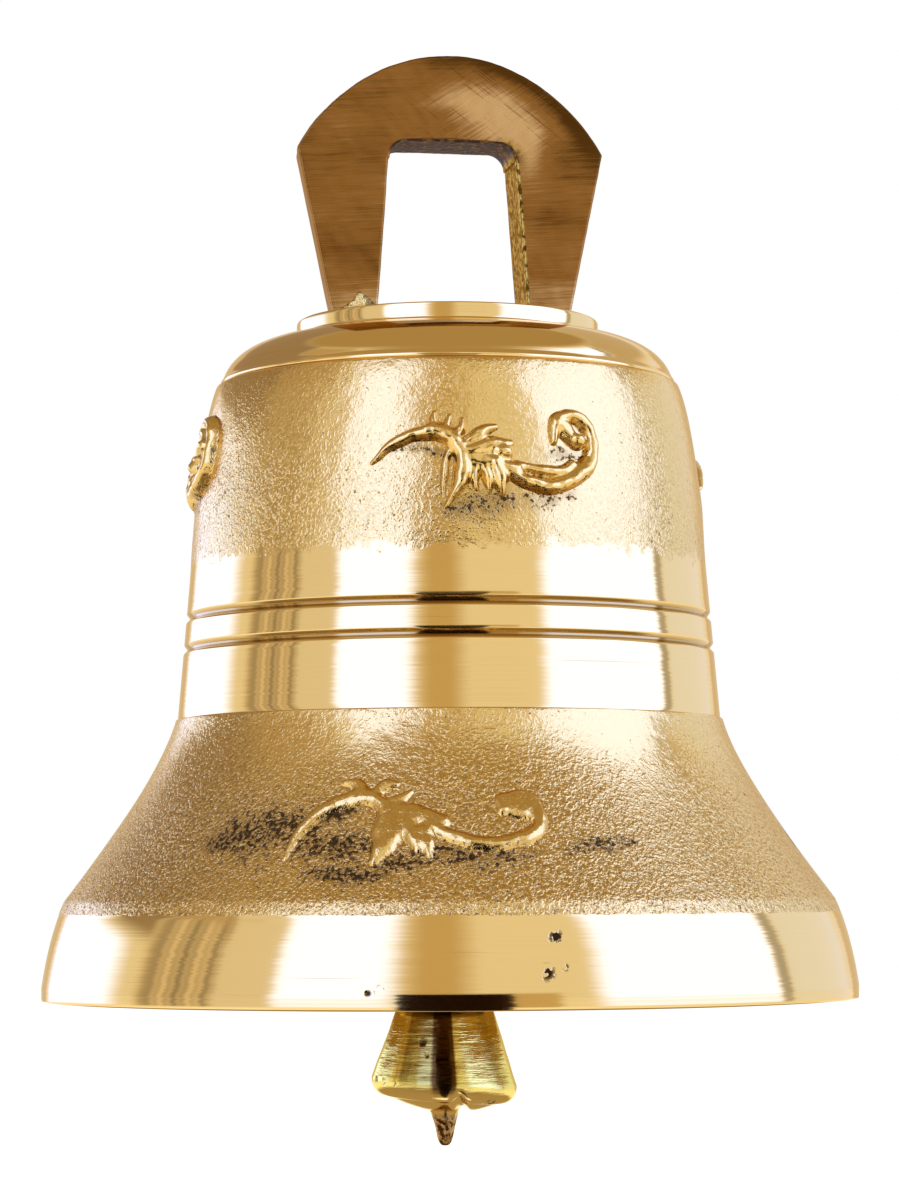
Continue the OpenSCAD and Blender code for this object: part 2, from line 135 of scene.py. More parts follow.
class ReliefShape(bpy.types.PropertyGroup):
    """Scroll relief on the barrel and the waist"""
    barrel_relief: length("Barrel relief", 1.6, "Height of the scrolls on the barrel")
    waist_relief: length("Waist relief", 0.85, "Height of the scrolls on the waist")
    sink: length("Sink", 0.3, "How far the ground of a scroll lies under the skin")
    backing: length("Backing", 0.7, "Depth of a scroll's back inside the wall")
    cell: length("Cell", 0.19, "Distance between the points of a scroll")
    barrel_height: length("Barrel scroll height", 75.0, "Height of the barrel scrolls' middle")
    waist_height: length("Waist scroll height", 25.0, "Height of the waist scrolls' middle")


class LoopShape(bpy.types.PropertyGroup):
    """Filed bar that carries the bell"""
    thickness: length("Thickness", (LOOP_HIGH.y - LOOP_LOW.y) / MM, "Thickness of the bar")
    crest: length("Crest", LOOP_HIGH.z / MM, "Height of the brow over the seat")
    width: length("Width", (LOOP_HIGH.x - LOOP_LOW.x) / MM, "Width over the shoulders")
    foot_width: length("Foot width", 34.5, "Width over the feet")
    shoulder_drop: length("Shoulder drop", 1.4, "How far the shoulders lie under the seat")
    brow: length("Brow", 10.7, "Reach of the brow's round to each side")
    flank: length("Flank", 5.9, "Height of the flank's round over the shoulder")
    flank_lean: factor("Flank lean", 0.5, "How much the flank leans in")
    window_height: length("Window height", -LOOP_LOW.z / MM, "Height of the window")
    window_low: length("Window foot", 22.9, "Width of the window at the disc")
    window_top: length("Window top", 18.9, "Width of the window at the seat")
    window_round: length("Window corner", 2.6, "Radius of the window's upper corners")
    shift: length("Shift", (LOOP_HIGH.x + LOOP_LOW.x) / 2 / MM, "Sideways place of the bar")
    window_shift: length("Window shift", -0.3, "Sideways place of the window in the bar")
    edge: length("Edge", 0.35, "Radius of the broken edges")
    splay: length("Splay", 1.15, "How far the left flank's front edge stands out past its back edge")


class HeadShape(bpy.types.PropertyGroup):
    """Cast head of the clapper"""
    radius: length("Radius", (HEAD_HIGH.x - HEAD_LOW.x) / 2 / MM, "Radius of the rim")
    middle: length("Middle", (HEAD_HIGH.x + HEAD_LOW.x) / 2 / MM, "Sideways place of the head")
    top: length("Top", HEAD_HIGH.z / MM - LIP_Z, "Height of the neck over the lip")
    tip: length("Tip", HEAD_LOW.z / MM - LIP_Z, "Height of the nib's tip over the lip")
    neck: length("Neck", 3.5, "Radius of the neck")
    rim: length("Rim", -12.1, "Height of the rim over the lip")
    rim_round: length("Rim round", 2.7, "Radius of the rim's edge")
    rim_tilt: factor("Rim tilt", 0.07, "How far the rim hangs lower to the right, for each unit across")
    dish: length("Dish", -16.5, "Height of the nib's root over the lip")
    nib_root: length("Nib root", 2.3, "Radius of the nib's root")
    nib_tip: length("Nib tip", 1.0, "Radius of the nib's tip")
    swell: length("Swell", 2.5, "How much deeper than wide the cone is where it is fullest")
    swell_height: length("Swell height", -2.4, "Height over the lip where the cone is fullest")
    swell_turn: factor("Swell turn", -14.0, "Turn of the swell about the clapper in degrees", 90.0)


class BellFinish(bpy.types.PropertyGroup):
    """Colours of the metals"""
    bright: colour("Turned brass", (0.80, 0.555, 0.215), "Turned and polished metal")
    skin: colour("Cast skin", (0.75, 0.505, 0.170), "Sand-cast metal")
    # Also the colour of the painted shade in the turned grooves and on the scrolls' flanks
    skin_dark: colour("Cast skin pits", (0.27, 0.145, 0.038), "Low places of the cast skin")
    relief: colour("Relief", (0.74, 0.49, 0.150), "Skin of the scrolls")
    # Also darkens the pits where the scrolls' flanks carry painted shade
    soot_and_shade: colour("Soot", (0.035, 0.016, 0.007), "Burnt sand left beside the relief")
    inner: colour("Inside", (0.42, 0.24, 0.085), "Raw metal inside the bell")
    filed: colour("Filed bar", (0.28, 0.118, 0.022), "Browner metal of the hanging bar")
    # On the bar, these two are also the dark and light ends of the painted sheen that stands in for its
    # reflections
    filed_dark: colour("Filed bar dark", (0.085, 0.032, 0.004), "Heat tint on the hanging bar")
    filed_pale: colour("Filed bar pale", (0.62, 0.37, 0.135), "Freshly brushed parts of the hanging bar")
    braze: colour("Braze", (0.75, 0.54, 0.17), "Filler metal at the feet")
    clapper: colour("Clapper", (0.78, 0.61, 0.14), "Yellow metal of the clapper")
    # Dark colour painted on the cone as reflections of the camera and of dark surroundings
    painted_reflection: colour("Patina", (0.062, 0.014, 0.004), "Brown film on the clapper's cone")
    sawn: colour("Sawn side", (0.52, 0.32, 0.065), "Yellower metal on the sides of the window")
    crust: colour("Crust", (0.035, 0.012, 0.006), "Dark oxide under the top of the window")
    underside: colour("Clapper underside", (0.98, 0.74, 0.30), "Paler metal under the clapper")
    steel: colour("Steel", (0.52, 0.51, 0.49), "Drawn wire, nut and washer")
    rust: colour("Rust", (0.20, 0.115, 0.06), "Brown stains on the steel")


class StudioSet(bpy.types.PropertyGroup):
    """Camera, floor and lights"""
    lens: FloatProperty(name="Lens", description="Focal length in millimetres on a 36 mm frame",
                        default=110.40, min=20, max=400)
    distance: length("Distance", 546.0, "Camera's distance from the bell's axis")
    height: length("Height", 16.0, "Camera's height over the lip")
    pitch: FloatProperty(name="Pitch", description="How far the camera looks up", default=math.radians(4.499),
                         subtype="ANGLE", unit="ROTATION")
    yaw: FloatProperty(name="Yaw", description="How far the camera looks past the axis", subtype="ANGLE",
                       unit="ROTATION", default=math.radians(0.0156))
    roll: FloatProperty(name="Roll", description="How far the camera is rolled", default=math.radians(-0.258),
                        subtype="ANGLE", unit="ROTATION")
    floor_drop: length("Floor", 150.0, "Distance of the floor under the clapper")
    panel_light: factor("Panels", 4.65, "Brightness of the soft panels")
    fill: factor("Fill", 0.8, "Light of the surroundings on the floor")


# Curves in the plane of a section, in millimetres, and soft steps and waves

def curve(corners, share):
    """Points of a curve at shares from 0 to 1: the Bernstein sum of its start, pull points and end."""
    share = share[:, None]
    order = len(corners) - 1
    weights = [math.comb(order, k) * (1 - share) ** (order - k) * share ** k for k in range(order + 1)]
    return sum(weight * np.array(corner, float) for weight, corner in zip(weights, corners))


def path(start, *legs):
    """Points along joined legs, without the last end. A leg is its count of points, pull points and end."""
    parts = []
    for count, *guides in legs:
        parts.append(curve([start, *guides], np.linspace(0, 1, count, endpoint=False)))
        start = guides[-1]
    return np.vstack(parts)


def smooth(low, high, value):
    """0 under low, 1 over high, and 3t^2 - 2t^3 between them."""
    t = np.clip((value - low) / (high - low), 0, 1)
    return t * t * (3 - 2 * t)


def spot(x, y, middle, reach):
    """Soft spot: exp of minus the squared distances along both coordinates, each over its own reach."""
    return np.exp(-((x - middle[0]) / reach[0]) ** 2 - ((y - middle[1]) / reach[1]) ** 2)


def turn_from(turn, azimuth):
    """The turn counted from an azimuth in degrees, between minus and plus half a turn."""
    return (turn - math.radians(azimuth) + math.pi) % FULL_TURN - math.pi


def waves(u, v, seed, lengths, closed=False):
    """Sum of sine waves over two coordinates, about -1 to 1. Closed ones meet after a full turn in u."""
    draw = np.random.default_rng(seed)
    total = np.zeros(np.broadcast(u, v).shape)
    for size in lengths:
        for _ in range(3):
            angle, phase = draw.uniform(0, FULL_TURN, 2)
            along, across = math.cos(angle) * FULL_TURN / size, math.sin(angle) * FULL_TURN / size
            total += np.sin((round(along) if closed else along) * u + across * v + phase)
    return total / (3 * len(lengths)) * 1.6


# Meshes from grids of points

def outward(corners, points):
    """Corner lists turned so that the volume they close, the sum of a.(b x c) / 6, comes out positive."""
    volume = 0.0
    for faces in corners:
        for k in range(1, faces.shape[1] - 1):
            a, b, c = points[faces[:, 0]], points[faces[:, k]], points[faces[:, k + 1]]
            volume += np.einsum("ij,ij->", a, np.cross(b, c))
    return corners if volume > 0 else [faces[:, ::-1] for faces in corners]


def build_mesh(name, points, corners, attributes=None, sharp=35.0, closed=True):
    """Mesh in metres from points in millimetres, lists of corners, and numbers for each point."""
    corners = [faces for faces in corners if len(faces)]
    if closed:
        corners = outward(corners, points)
    mesh = bpy.data.meshes.new(name)
    mesh.vertices.add(len(points))
    mesh.vertices.foreach_set("co", (points * MM).astype(np.float32).ravel())
    mesh.loops.add(sum(faces.size for faces in corners))
    order = np.concatenate([faces.ravel() for faces in corners])
    mesh.loops.foreach_set("vertex_index", order.astype(np.int32))
    sizes = np.concatenate([np.full(*faces.shape) for faces in corners])
    mesh.polygons.add(len(sizes))
    mesh.polygons.foreach_set("loop_start", (np.cumsum(sizes) - sizes).astype(np.int32))
    mesh.update(calc_edges=True)
    mesh.validate()
    for key, values in (attributes or {}).items():
        if values.ndim == 2:
            mesh.attributes.new(key, "FLOAT_COLOR", "POINT").data.foreach_set(
                "color", values.astype(np.float32).ravel())
        else:
            mesh.attributes.new(key, "FLOAT", "POINT").data.foreach_set("value", values.astype(np.float32))
    mesh.shade_smooth()
    mesh.set_sharp_from_angle(angle=math.radians(sharp))
    return mesh


def grid_corners(rows, columns, wrap_rows=False, wrap_columns=False):
    """Four corners of every face between neighbours on a grid that may close on itself."""
    ids = np.arange(rows * columns).reshape(rows, columns)
    if wrap_rows:
        ids = np.vstack([ids, ids[:1]])
    if wrap_columns:
        ids = np.hstack([ids, ids[:, :1]])
    return np.stack([ids[:-1, :-1], ids[:-1, 1:], ids[1:, 1:], ids[1:, :-1]], -1).reshape(-1, 4)


def tube_mesh(name, grid, ends, attributes, sharp):
    """Closed mesh over a grid whose columns close on themselves, with a fan to one point at each end."""
    rows, columns = grid.shape[:2]
    points = np.vstack([grid.reshape(-1, 3), ends])
    quads = grid_corners(rows, columns, wrap_columns=True)
    first = np.arange(columns)
    last = first + (rows - 1) * columns
    head = np.stack([np.full(columns, rows * columns), np.roll(first, -1), first], -1)
    tail = np.stack([np.full(columns, rows * columns + 1), last, np.roll(last, -1)], -1)
    padded = {key: np.concatenate([values.ravel(), values[0, :1].ravel(), values[-1, :1].ravel()])
              for key, values in attributes.items()}
    return build_mesh(name, points, [quads, np.vstack([head, tail])], padded, sharp)


def ring_mesh(name, grid):
    """Closed mesh over a grid whose rows and columns both close on themselves."""
    return build_mesh(name, grid.reshape(-1, 3), [grid_corners(*grid.shape[:2], True, True)], sharp=50.0)


def pillow_mesh(name, top, bottom, attributes):
    """Closed mesh of two grids that share their border points: the upper one and its back."""
    rows, columns = top.shape[:2]
    inner = np.zeros((rows, columns), bool)
    inner[1:-1, 1:-1] = True
    front = np.arange(rows * columns).reshape(rows, columns)
    back = front.copy()
    back[inner] = rows * columns + np.arange(inner.sum())
    points = np.vstack([top.reshape(-1, 3), bottom[inner]])
    quads = grid_corners(rows, columns)
    under = back.ravel()[quads][:, ::-1]
    both = {key: np.concatenate([values.ravel(), values[inner]]) for key, values in attributes.items()}
    return build_mesh(name, points, [np.vstack([quads, under])], both, sharp=60.0)


def add_object(name, data, material=None):
    """Object at the origin with its mesh, lamp or camera."""
    made = bpy.data.objects.new(name, data)
    bpy.context.scene.collection.objects.link(made)
    if material:
        data.materials.append(material)
    return made


def add_piece(mesh, material, body, replaced):
    """Piece of the object that rides on a body and stands for a CAD node."""
    piece = add_object(mesh.name, mesh, material)
    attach(piece, body)
    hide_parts(replaced)


# Form of the casting

# Pull points of the casting's outside, and its inside from the mouth up: radius and height over the lip
SHOULDER_PULL = (31.9, 96.8)
WAIST_PULLS = ((42.77, 33.0), (51.15, 22.0))
LIP_PULL = (58.9, 9.6)
TURNED_MOUTH = ((52.8, 8.0), (51.1, 14.5))
INSIDE_WAIST = ((46.15, 22.0), (38.37, 33.0), (35.75, 41.0))
INSIDE_BARREL = (33.95, 72.3)
INSIDE_SHOULDER = (30.55, 85.3)
CEILING_PULL, CEILING_RADIUS, CEILING = 29.75, 21.55, 93.3


def outer_outline(s):
    """Outside of the wall from the disc's middle down to the lip: (radius, height over the lip)."""
    edge, half_floor = 0.12, 0.15
    band_low_radius = s.waist_radius - s.band_ledge
    slope = (s.band_top_radius - band_low_radius) / (s.band_top - s.waist_top)

    def on_band(height):
        return [band_low_radius + slope * (height - s.waist_top), height]

    def groove(middle):
        """Legs of one V groove: over its upper edge to its narrow floor and out over its lower edge."""
        top, low = on_band(middle + s.groove_width / 2), on_band(middle - s.groove_width / 2)
        deep = on_band(middle)[0] - s.groove_depth
        return ((3, top, [top[0] - edge, top[1] - edge]), (4, [deep, middle + half_floor]),
                (3, [deep, middle - half_floor]), (4, [low[0] - edge, low[1] + edge]),
                (3, low, on_band(low[1] - edge)))

    upper, lower = (on_band(middle + s.groove_width / 2 + edge) for middle in (s.top_groove, s.low_groove))
    disc, top, foot = s.disc_radius, s.disc_top, s.disc_foot
    barrel, high = s.barrel_top_radius, s.barrel_top
    step, bead_height = barrel - s.shoulder_step, high + s.bead_radius
    crown = path([0.5, top], (10, [disc - 0.3, top]), (4, [disc - 0.05, top], [disc, top - 0.3]),
                 (5, [disc, foot + 0.5]), (4, [disc, foot], [disc + 0.6, foot - 0.02]),
                 (30, SHOULDER_PULL, [step - 0.1, bead_height + 0.5]))
    turn = np.radians(np.linspace(62, -70, 9))
    bead = np.stack([step - s.bead_radius / 2 + s.bead_radius * np.cos(turn),
                     bead_height + s.bead_radius * np.sin(turn)], -1)
    waist, waist_top, lip = s.waist_radius, s.waist_top, s.lip_radius
    wall = path([step - 0.1, high + 0.02], (3, [barrel - 0.3, high]),
                (4, [barrel, high], [barrel + 0.12, high - 0.35]),
                (36, [barrel + 2.1, high - 5.1], [s.barrel_bend_radius, s.barrel_bend]),
                (14, [s.band_top_radius, s.band_top]), (10, upper), *groove(s.top_groove),
                (7, lower), *groove(s.low_groove), (14, [band_low_radius, waist_top + edge]),
                (3, [band_low_radius, waist_top], [waist - 0.1, waist_top + 0.02]),
                (3, [waist, waist_top], [waist + 0.05, waist_top - 0.15]),
                (70, *WAIST_PULLS, [s.lip_band_radius, s.lip_band_top]),
                (30, LIP_PULL, [lip, s.lip_edge]), (5, [lip, 0.3]), (4, [lip, 0], [lip - 0.3, 0]))
    return np.vstack([crown, bead, wall])


def inner_outline(s):
    """Inside of the wall from the lip's flat up to the boss and the end of the staple's hole."""
    mouth, boss, face = s.lip_radius - s.lip_flat, s.boss_radius, s.boss_face
    hole_radius, hole_top = 3.02, face + 9
    wall = path([s.lip_radius - 0.3, 0], (4, [mouth + 0.15, 0]), (3, [mouth, 0], [mouth - 0.12, 0.2]),
                (16, *TURNED_MOUTH), (26, *INSIDE_WAIST), (20, INSIDE_BARREL), (9, INSIDE_SHOULDER),
                (14, [CEILING_PULL, CEILING], [CEILING_RADIUS, CEILING]), (6, [boss + 1, CEILING]),
                (4, [boss, CEILING], [boss, CEILING - 1]), (3, [boss, face + 0.3]),
                (3, [boss, face], [boss - 0.3, face]), (5, [hole_radius, face]),
                (5, [hole_radius, hole_top]))
    return np.vstack([wall, [hole_radius, hole_top]])


def outer_finish(height):
    """How bright the outside is turned: 1 on the lip, the band and the shoulder, 0 on the cast skin."""
    marks = [12.4, 12.9, 40.75, 41.0, 61.2, 66.6, 90.3, 90.55]
    return np.interp(height, marks, [1, 0, 0, 1, 1, 0, 0, 1])


# Patches of the cast skin: azimuth, height, reach round and up, and how much coarser they are
SKIN_PATCHES = (
    (-62, 71.0, 24, 8, 0.55),
    (42, 72.0, 7, 20, 0.35),
    (-52, 24.0, 24, 7, 0.30),
    (24, 37.5, 24, 6, -0.42),
    (-25, 38.0, 13, 4, -0.30),
)


def skin_grain(turn, height):
    """Coarseness of the cast skin: full low on the waist, finer higher up, with slow and marked patches."""
    low = 1 - smooth(43.0, 60.0, height)
    waist = 1 - 0.5 * smooth(26.0, 38.0, height)
    barrel = 0.42 - 0.22 * smooth(74.0, 88.0, height)
    slow = 0.20 * waves(turn, height / 30.0, 17, [1.4, 0.8], closed=True)
    grain = low * waist + (1 - low) * barrel + slow * (1 - 0.4 * low)
    for azimuth, middle, wide, tall, coarser in SKIN_PATCHES:
        beside = np.degrees(turn_from(turn, azimuth))
        grain = grain + coarser * spot(beside, height, (0, middle), (wide, tall))
    return np.clip(grain, 0.06, 1.3)


def ripple(turn, height, depth):
    """Slow waves of the cast skin over the turn in radians and the height, in millimetres."""
    return depth * waves(turn, height / 38.0, 11, [0.9, 0.5, 0.32], closed=True)


def wall_section(s):
    """The outside wall from the lip to the shoulder: arc length, radius, height and outward direction."""
    points = outer_outline(s)
    points = points[(points[:, 1] < s.barrel_top - 0.5) & (points[:, 1] > s.lip_edge)]
    points = points[np.argsort(points[:, 1])]
    arc = np.concatenate([[0], np.cumsum(np.hypot(*np.diff(points, axis=0).T))])
    step = np.gradient(points, axis=0)
    along_r, along_h = step.T / np.hypot(*step.T)
    return arc, *points.T, along_h, -along_r


# Strokes of the scroll relief: start, pull point and end, then width at start, middle and end, then lift.
# Millimetres along and up the wall from the scroll's middle.
BARREL_STROKES = (
    ((-17.3, 0.2), (-14.2, 4.2), (-8.6, 4.6), (0.5, 1.6, 2.2), 0.85),
    ((-9.4, 4.6), (-6.0, 4.9), (-4.6, 1.6), (2.2, 2.6, 2.4), 1.0),
    ((-4.8, 2.4), (-3.4, -1.8), (-6.9, -6.0), (2.4, 2.3, 0.5), 1.0),
    ((-6.2, 2.2), (-7.4, -1.2), (-7.1, -4.8), (0.8, 1.3, 0.5), 0.55),
    ((-8.0, 4.6), (-8.8, 6.0), (-8.4, 7.4), (1.6, 1.4, 0.5), 0.9),
    ((-6.6, 4.4), (-6.9, 5.8), (-6.3, 7.0), (1.4, 1.3, 0.5), 0.85),
    ((-5.6, 3.8), (-4.6, 4.8), (-4.5, 6.4), (1.4, 1.4, 0.5), 0.9),
    ((-4.2, 2.4), (-2.4, 4.4), (0.3, 5.4), (1.8, 2.2, 0.8), 0.9),
    ((-3.9, 1.6), (-0.6, 2.6), (2.4, 3.0), (2.0, 2.8, 1.0), 0.95),
    ((0.6, 1.9), (1.0, 1.8), (1.4, 1.7), (2.6, 2.8, 2.4), 1.05),
    ((-4.2, 1.2), (-1.4, 0.4), (2.8, -0.8), (2.8, 3.4, 2.4), 0.85),
    ((-2.8, 0.4), (-3.2, -1.6), (-2.6, -3.6), (1.5, 1.4, 0.5), 0.95),
    ((-1.8, 0.4), (-0.8, -2.0), (-0.8, -4.1), (1.5, 1.6, 0.5), 1.0),
    ((0.1, 0.2), (0.9, -2.0), (1.0, -4.6), (2.2, 2.6, 0.5), 1.05),
    ((2.2, -0.6), (2.8, -0.8), (3.4, -1.2), (1.9, 2.0, 1.6), 0.9),
    ((3.0, 0.2), (8.2, -1.8), (11.6, 0.0), (1.0, 1.7, 1.7), 0.7),
    ((2.0, -1.2), (7.4, -4.4), (11.0, -1.8), (1.7, 2.2, 2.2), 1.0),
    ((10.4, -2.2), (14.8, -0.6), (14.8, 3.6), (2.2, 2.5, 2.0), 1.0),
    ((14.8, 3.2), (14.6, 7.6), (11.0, 7.3), (2.0, 2.1, 1.8), 0.95),
    ((11.2, 7.2), (8.6, 7.0), (8.7, 3.6), (1.8, 2.0, 1.2), 0.85),
    ((9.8, 6.0), (10.6, 5.4), (11.4, 4.2), (2.0, 2.8, 2.2), 0.8),
    ((12.1, 3.7), (12.3, 3.6), (12.5, 3.5), (2.2, 2.4, 2.2), 1.2),
)
WAIST_STROKES = (
    ((-17.2, -6.0), (-16.9, 2.4), (-9.0, 4.2), (0.8, 2.3, 2.5), 0.85),
    ((-9.4, 4.2), (-6.0, 4.8), (-4.6, 2.0), (2.5, 2.4, 2.2), 1.0),
    ((-4.8, 2.6), (-2.8, -1.0), (-5.2, -6.6), (2.4, 4.6, 1.2), 1.0),
    ((-2.4, 1.0), (-0.4, -2.0), (0.3, -4.8), (1.8, 2.6, 0.8), 0.9),
    ((-8.2, 4.8), (-8.8, 7.0), (-11.6, 6.6), (1.9, 1.9, 1.0), 0.75),
    ((-6.4, 4.8), (-5.4, 6.8), (-3.4, 6.3), (1.7, 1.9, 0.9), 0.75),
    ((-4.2, 3.4), (-2.6, 3.8), (-1.0, 5.1), (1.7, 1.7, 0.8), 0.8),
    ((-4.0, 1.8), (-0.6, 1.6), (3.4, 0.2), (3.4, 3.6, 2.2), 0.8),
    ((1.0, -1.2), (1.0, -3.0), (1.9, -5.8), (2.0, 2.4, 0.6), 0.95),
    ((1.6, -0.4), (7.0, -4.2), (11.4, -3.4), (1.6, 2.2, 2.3), 1.0),
    ((10.8, -3.5), (16.6, -2.6), (17.0, 1.4), (2.3, 2.4, 1.7), 1.0),
    ((17.0, 1.0), (17.2, 5.2), (13.4, 5.0), (1.6, 1.5, 1.0), 0.7),
    ((12.6, 3.2), (14.0, 3.0), (15.2, 2.4), (4.0, 4.8, 4.0), 0.6),
    ((11.7, 1.9), (11.8, 1.9), (11.9, 1.9), (1.6, 1.7, 1.6), 1.0),
    ((14.3, 1.7), (14.4, 1.7), (14.5, 1.7), (1.5, 1.6, 1.5), 1.0),
)
# Places beside the strokes where burnt sand stays in the skin, in the same form without the lift
BARREL_SOOT = (
    ((-15.4, 1.4), (-11.0, 3.6), (-6.4, 1.0), (0.6, 1.4, 1.6)),
    ((-6.6, -6.4), (-1.4, -6.0), (2.2, -4.8), (2.6, 4.4, 3.8)),
    ((1.8, -4.4), (6.0, -5.2), (11.0, -4.0), (4.0, 3.6, 2.0)),
    ((7.6, 1.2), (9.8, 2.2), (12.8, 1.6), (1.4, 2.6, 1.4)),
    ((-6.8, -0.6), (-7.0, -1.6), (-6.9, -2.6), (0.9, 1.2, 0.9)),
)
WAIST_SOOT = (
    ((-29.0, -2.6), (-24.0, -0.4), (-17.5, -0.6), (4.0, 9.0, 7.0)),
    ((-14.8, -0.6), (-12.0, 1.4), (-9.0, 2.4), (2.6, 3.2, 1.8)),
    ((-15.0, -3.4), (-11.0, -4.2), (-6.6, -3.6), (4.4, 6.4, 4.0)),
    ((-13.0, -8.0), (-9.0, -9.0), (-4.0, -8.4), (2.0, 4.4, 2.6)),
    ((-4.6, -6.8), (0.0, -6.4), (3.4, -5.4), (2.4, 3.6, 3.0)),
    ((3.4, -5.0), (8.0, -6.4), (14.0, -5.6), (3.4, 4.2, 2.4)),
    ((20.0, -4.6), (25.0, -2.6), (30.0, -3.4), (1.6, 3.4, 1.4)),
    ((-7.4, 5.6), (-7.2, 5.0), (-7.0, 4.4), (0.7, 0.9, 0.7)),
)


def over_strokes(along, up, strokes, count, section):
    """Highest section value at each place over points of all strokes, from (distance / half width)^2."""
    top = np.zeros(along.shape)
    share = np.linspace(0, 1, count)
    for start, pull, end, widths, *lift in strokes:
        x, y = curve((start, pull, end), share).T
        half = np.interp(share, [0, 0.5, 1], widths) / 2
        away = ((along[..., None] - x) ** 2 + (up[..., None] - y) ** 2) / half ** 2
        top = np.maximum(top, section(away, half, *lift).max(-1))
    return top


def stroke_ridge(away, half, lift):
    """Round section of a raised stroke: lift * sqrt(1 - away), lower where the stroke is thin."""
    return lift * np.sqrt(np.clip(1 - away, 0, None)) * np.minimum(1, 0.35 + 0.6 * half)


def stroke_haze(away, _):
    """Soft darkness round a stroke: exp(-1.3 away)."""
    return np.exp(-1.3 * away)


def soften(field, passes):
    """The field after repeated averaging with its neighbours, 1-2-1 both ways."""
    for _ in range(passes):
        padded = np.pad(field, 1, mode="edge")
        field = (padded[:-2, 1:-1] + 2 * padded[1:-1, 1:-1] + padded[2:, 1:-1]) / 4
        padded = np.pad(field, 1, mode="edge")
        field = (padded[1:-1, :-2] + 2 * padded[1:-1, 1:-1] + padded[1:-1, 2:]) / 4
    return field


def scroll_sites():
    """Name, azimuth in degrees, lift of the middle, and kind of each scroll."""
    barrel = [("front", 0, 0), ("right", 104, 0), ("back", 178, 0), ("left", 260, 2)]
    waist = [("front", -15, 0), ("right", 105, 0), ("left", 225, 0)]
    return ([("barrel_scroll_" + word, angle, lift, "barrel") for word, angle, lift in barrel]
            + [("waist_scroll_" + word, angle, lift, "waist") for word, angle, lift in waist])


def scroll_frame(kind, lift, shape, relief):
    """Arc length at a scroll's middle, the wall's radius there, the strokes and the soot."""
    arc, radius, height, _, _ = wall_section(shape)
    if kind == "barrel":
        middle, strokes, soot_and_shade = relief.barrel_height + lift, BARREL_STROKES, BARREL_SOOT
    else:
        middle, strokes, soot_and_shade = relief.waist_height + lift, WAIST_STROKES, WAIST_SOOT
    return np.interp(middle, height, arc), np.interp(middle, height, radius), strokes, soot_and_shade


def shell_soot(turn, points, shape, relief):
    """Soot on the casting: near 1 in the marked places beside each scroll, on the grid of turn and height."""
    arc, _, height, _, _ = wall_section(shape)
    along_wall = np.interp(points[:, 1], height, arc)
    total = np.zeros((len(points), len(turn)))
    for _, azimuth, lift, kind in scroll_sites():
        middle, radius, _, soot_and_shade = scroll_frame(kind, lift, shape, relief)
        along, up = np.meshgrid(turn_from(turn, azimuth) * radius, along_wall - middle)
        near = (np.abs(along) < 34) & (np.abs(up) < 12)
        strength = 1.15 if kind == "barrel" else 1.0
        dark = strength * over_strokes(along[near], up[near], soot_and_shade, 20, stroke_haze)
        total[near] = np.maximum(total[near], dark)
    return total


def shell_mesh(s, relief):
    """Section turned about the axis: (r sin t, -r cos t, h), with a ripple added to r on the cast skin."""
    outside, inner = outer_outline(s), inner_outline(s)
    r, h = np.hsplit(np.vstack([outside, inner]), 2)
    inside = np.repeat([0.0, 1.0], [len(outside), len(inner)])[:, None]
    finish = np.where(inside > 0, 1 - smooth(13.0, 15.0, h), outer_finish(h))
    turn = np.linspace(0, FULL_TURN, s.columns, endpoint=False)
    plain_from = 88
    under_crown = (inside > 0) & (h > plain_from)
    radius = r + np.where(under_crown, 0, ripple(turn, h, s.ripple) * (1 - finish))
    shift = np.where((inside > 0) & (r < s.boss_radius - 0.4), s.staple_shift, 0)
    grid = np.stack([radius * np.sin(turn) + shift, -radius * np.cos(turn), h + LIP_Z + 0 * radius], -1)
    ends = np.array([[0, 0, outside[0, 1] + LIP_Z], [s.staple_shift, 0, inner[-1, 1] + LIP_Z]])
    soot_and_shade = np.vstack([shell_soot(turn, outside, s, relief), np.zeros((len(inner), s.columns))])
    # Where the turned grooves are, painted darker as shade in the material
    groove = sum(1 - smooth(0.35, 0.75, np.abs(h - middle)) for middle in (s.low_groove, s.top_groove))
    big = smooth(-0.4, 0.5, np.sin(turn + 0.1)) * (1 - smooth(34.0, 41.0, h)) * (1 - inside)
    wide = np.ones(s.columns)
    values = {"finish": finish * wide, "inside": inside * wide, "soot_and_shade": soot_and_shade, "grain": skin_grain(turn, h),
              "groove": groove * (1 - inside) * wide, "big": big}
    return tube_mesh("cast_shell", grid, ends, values, 32.0)


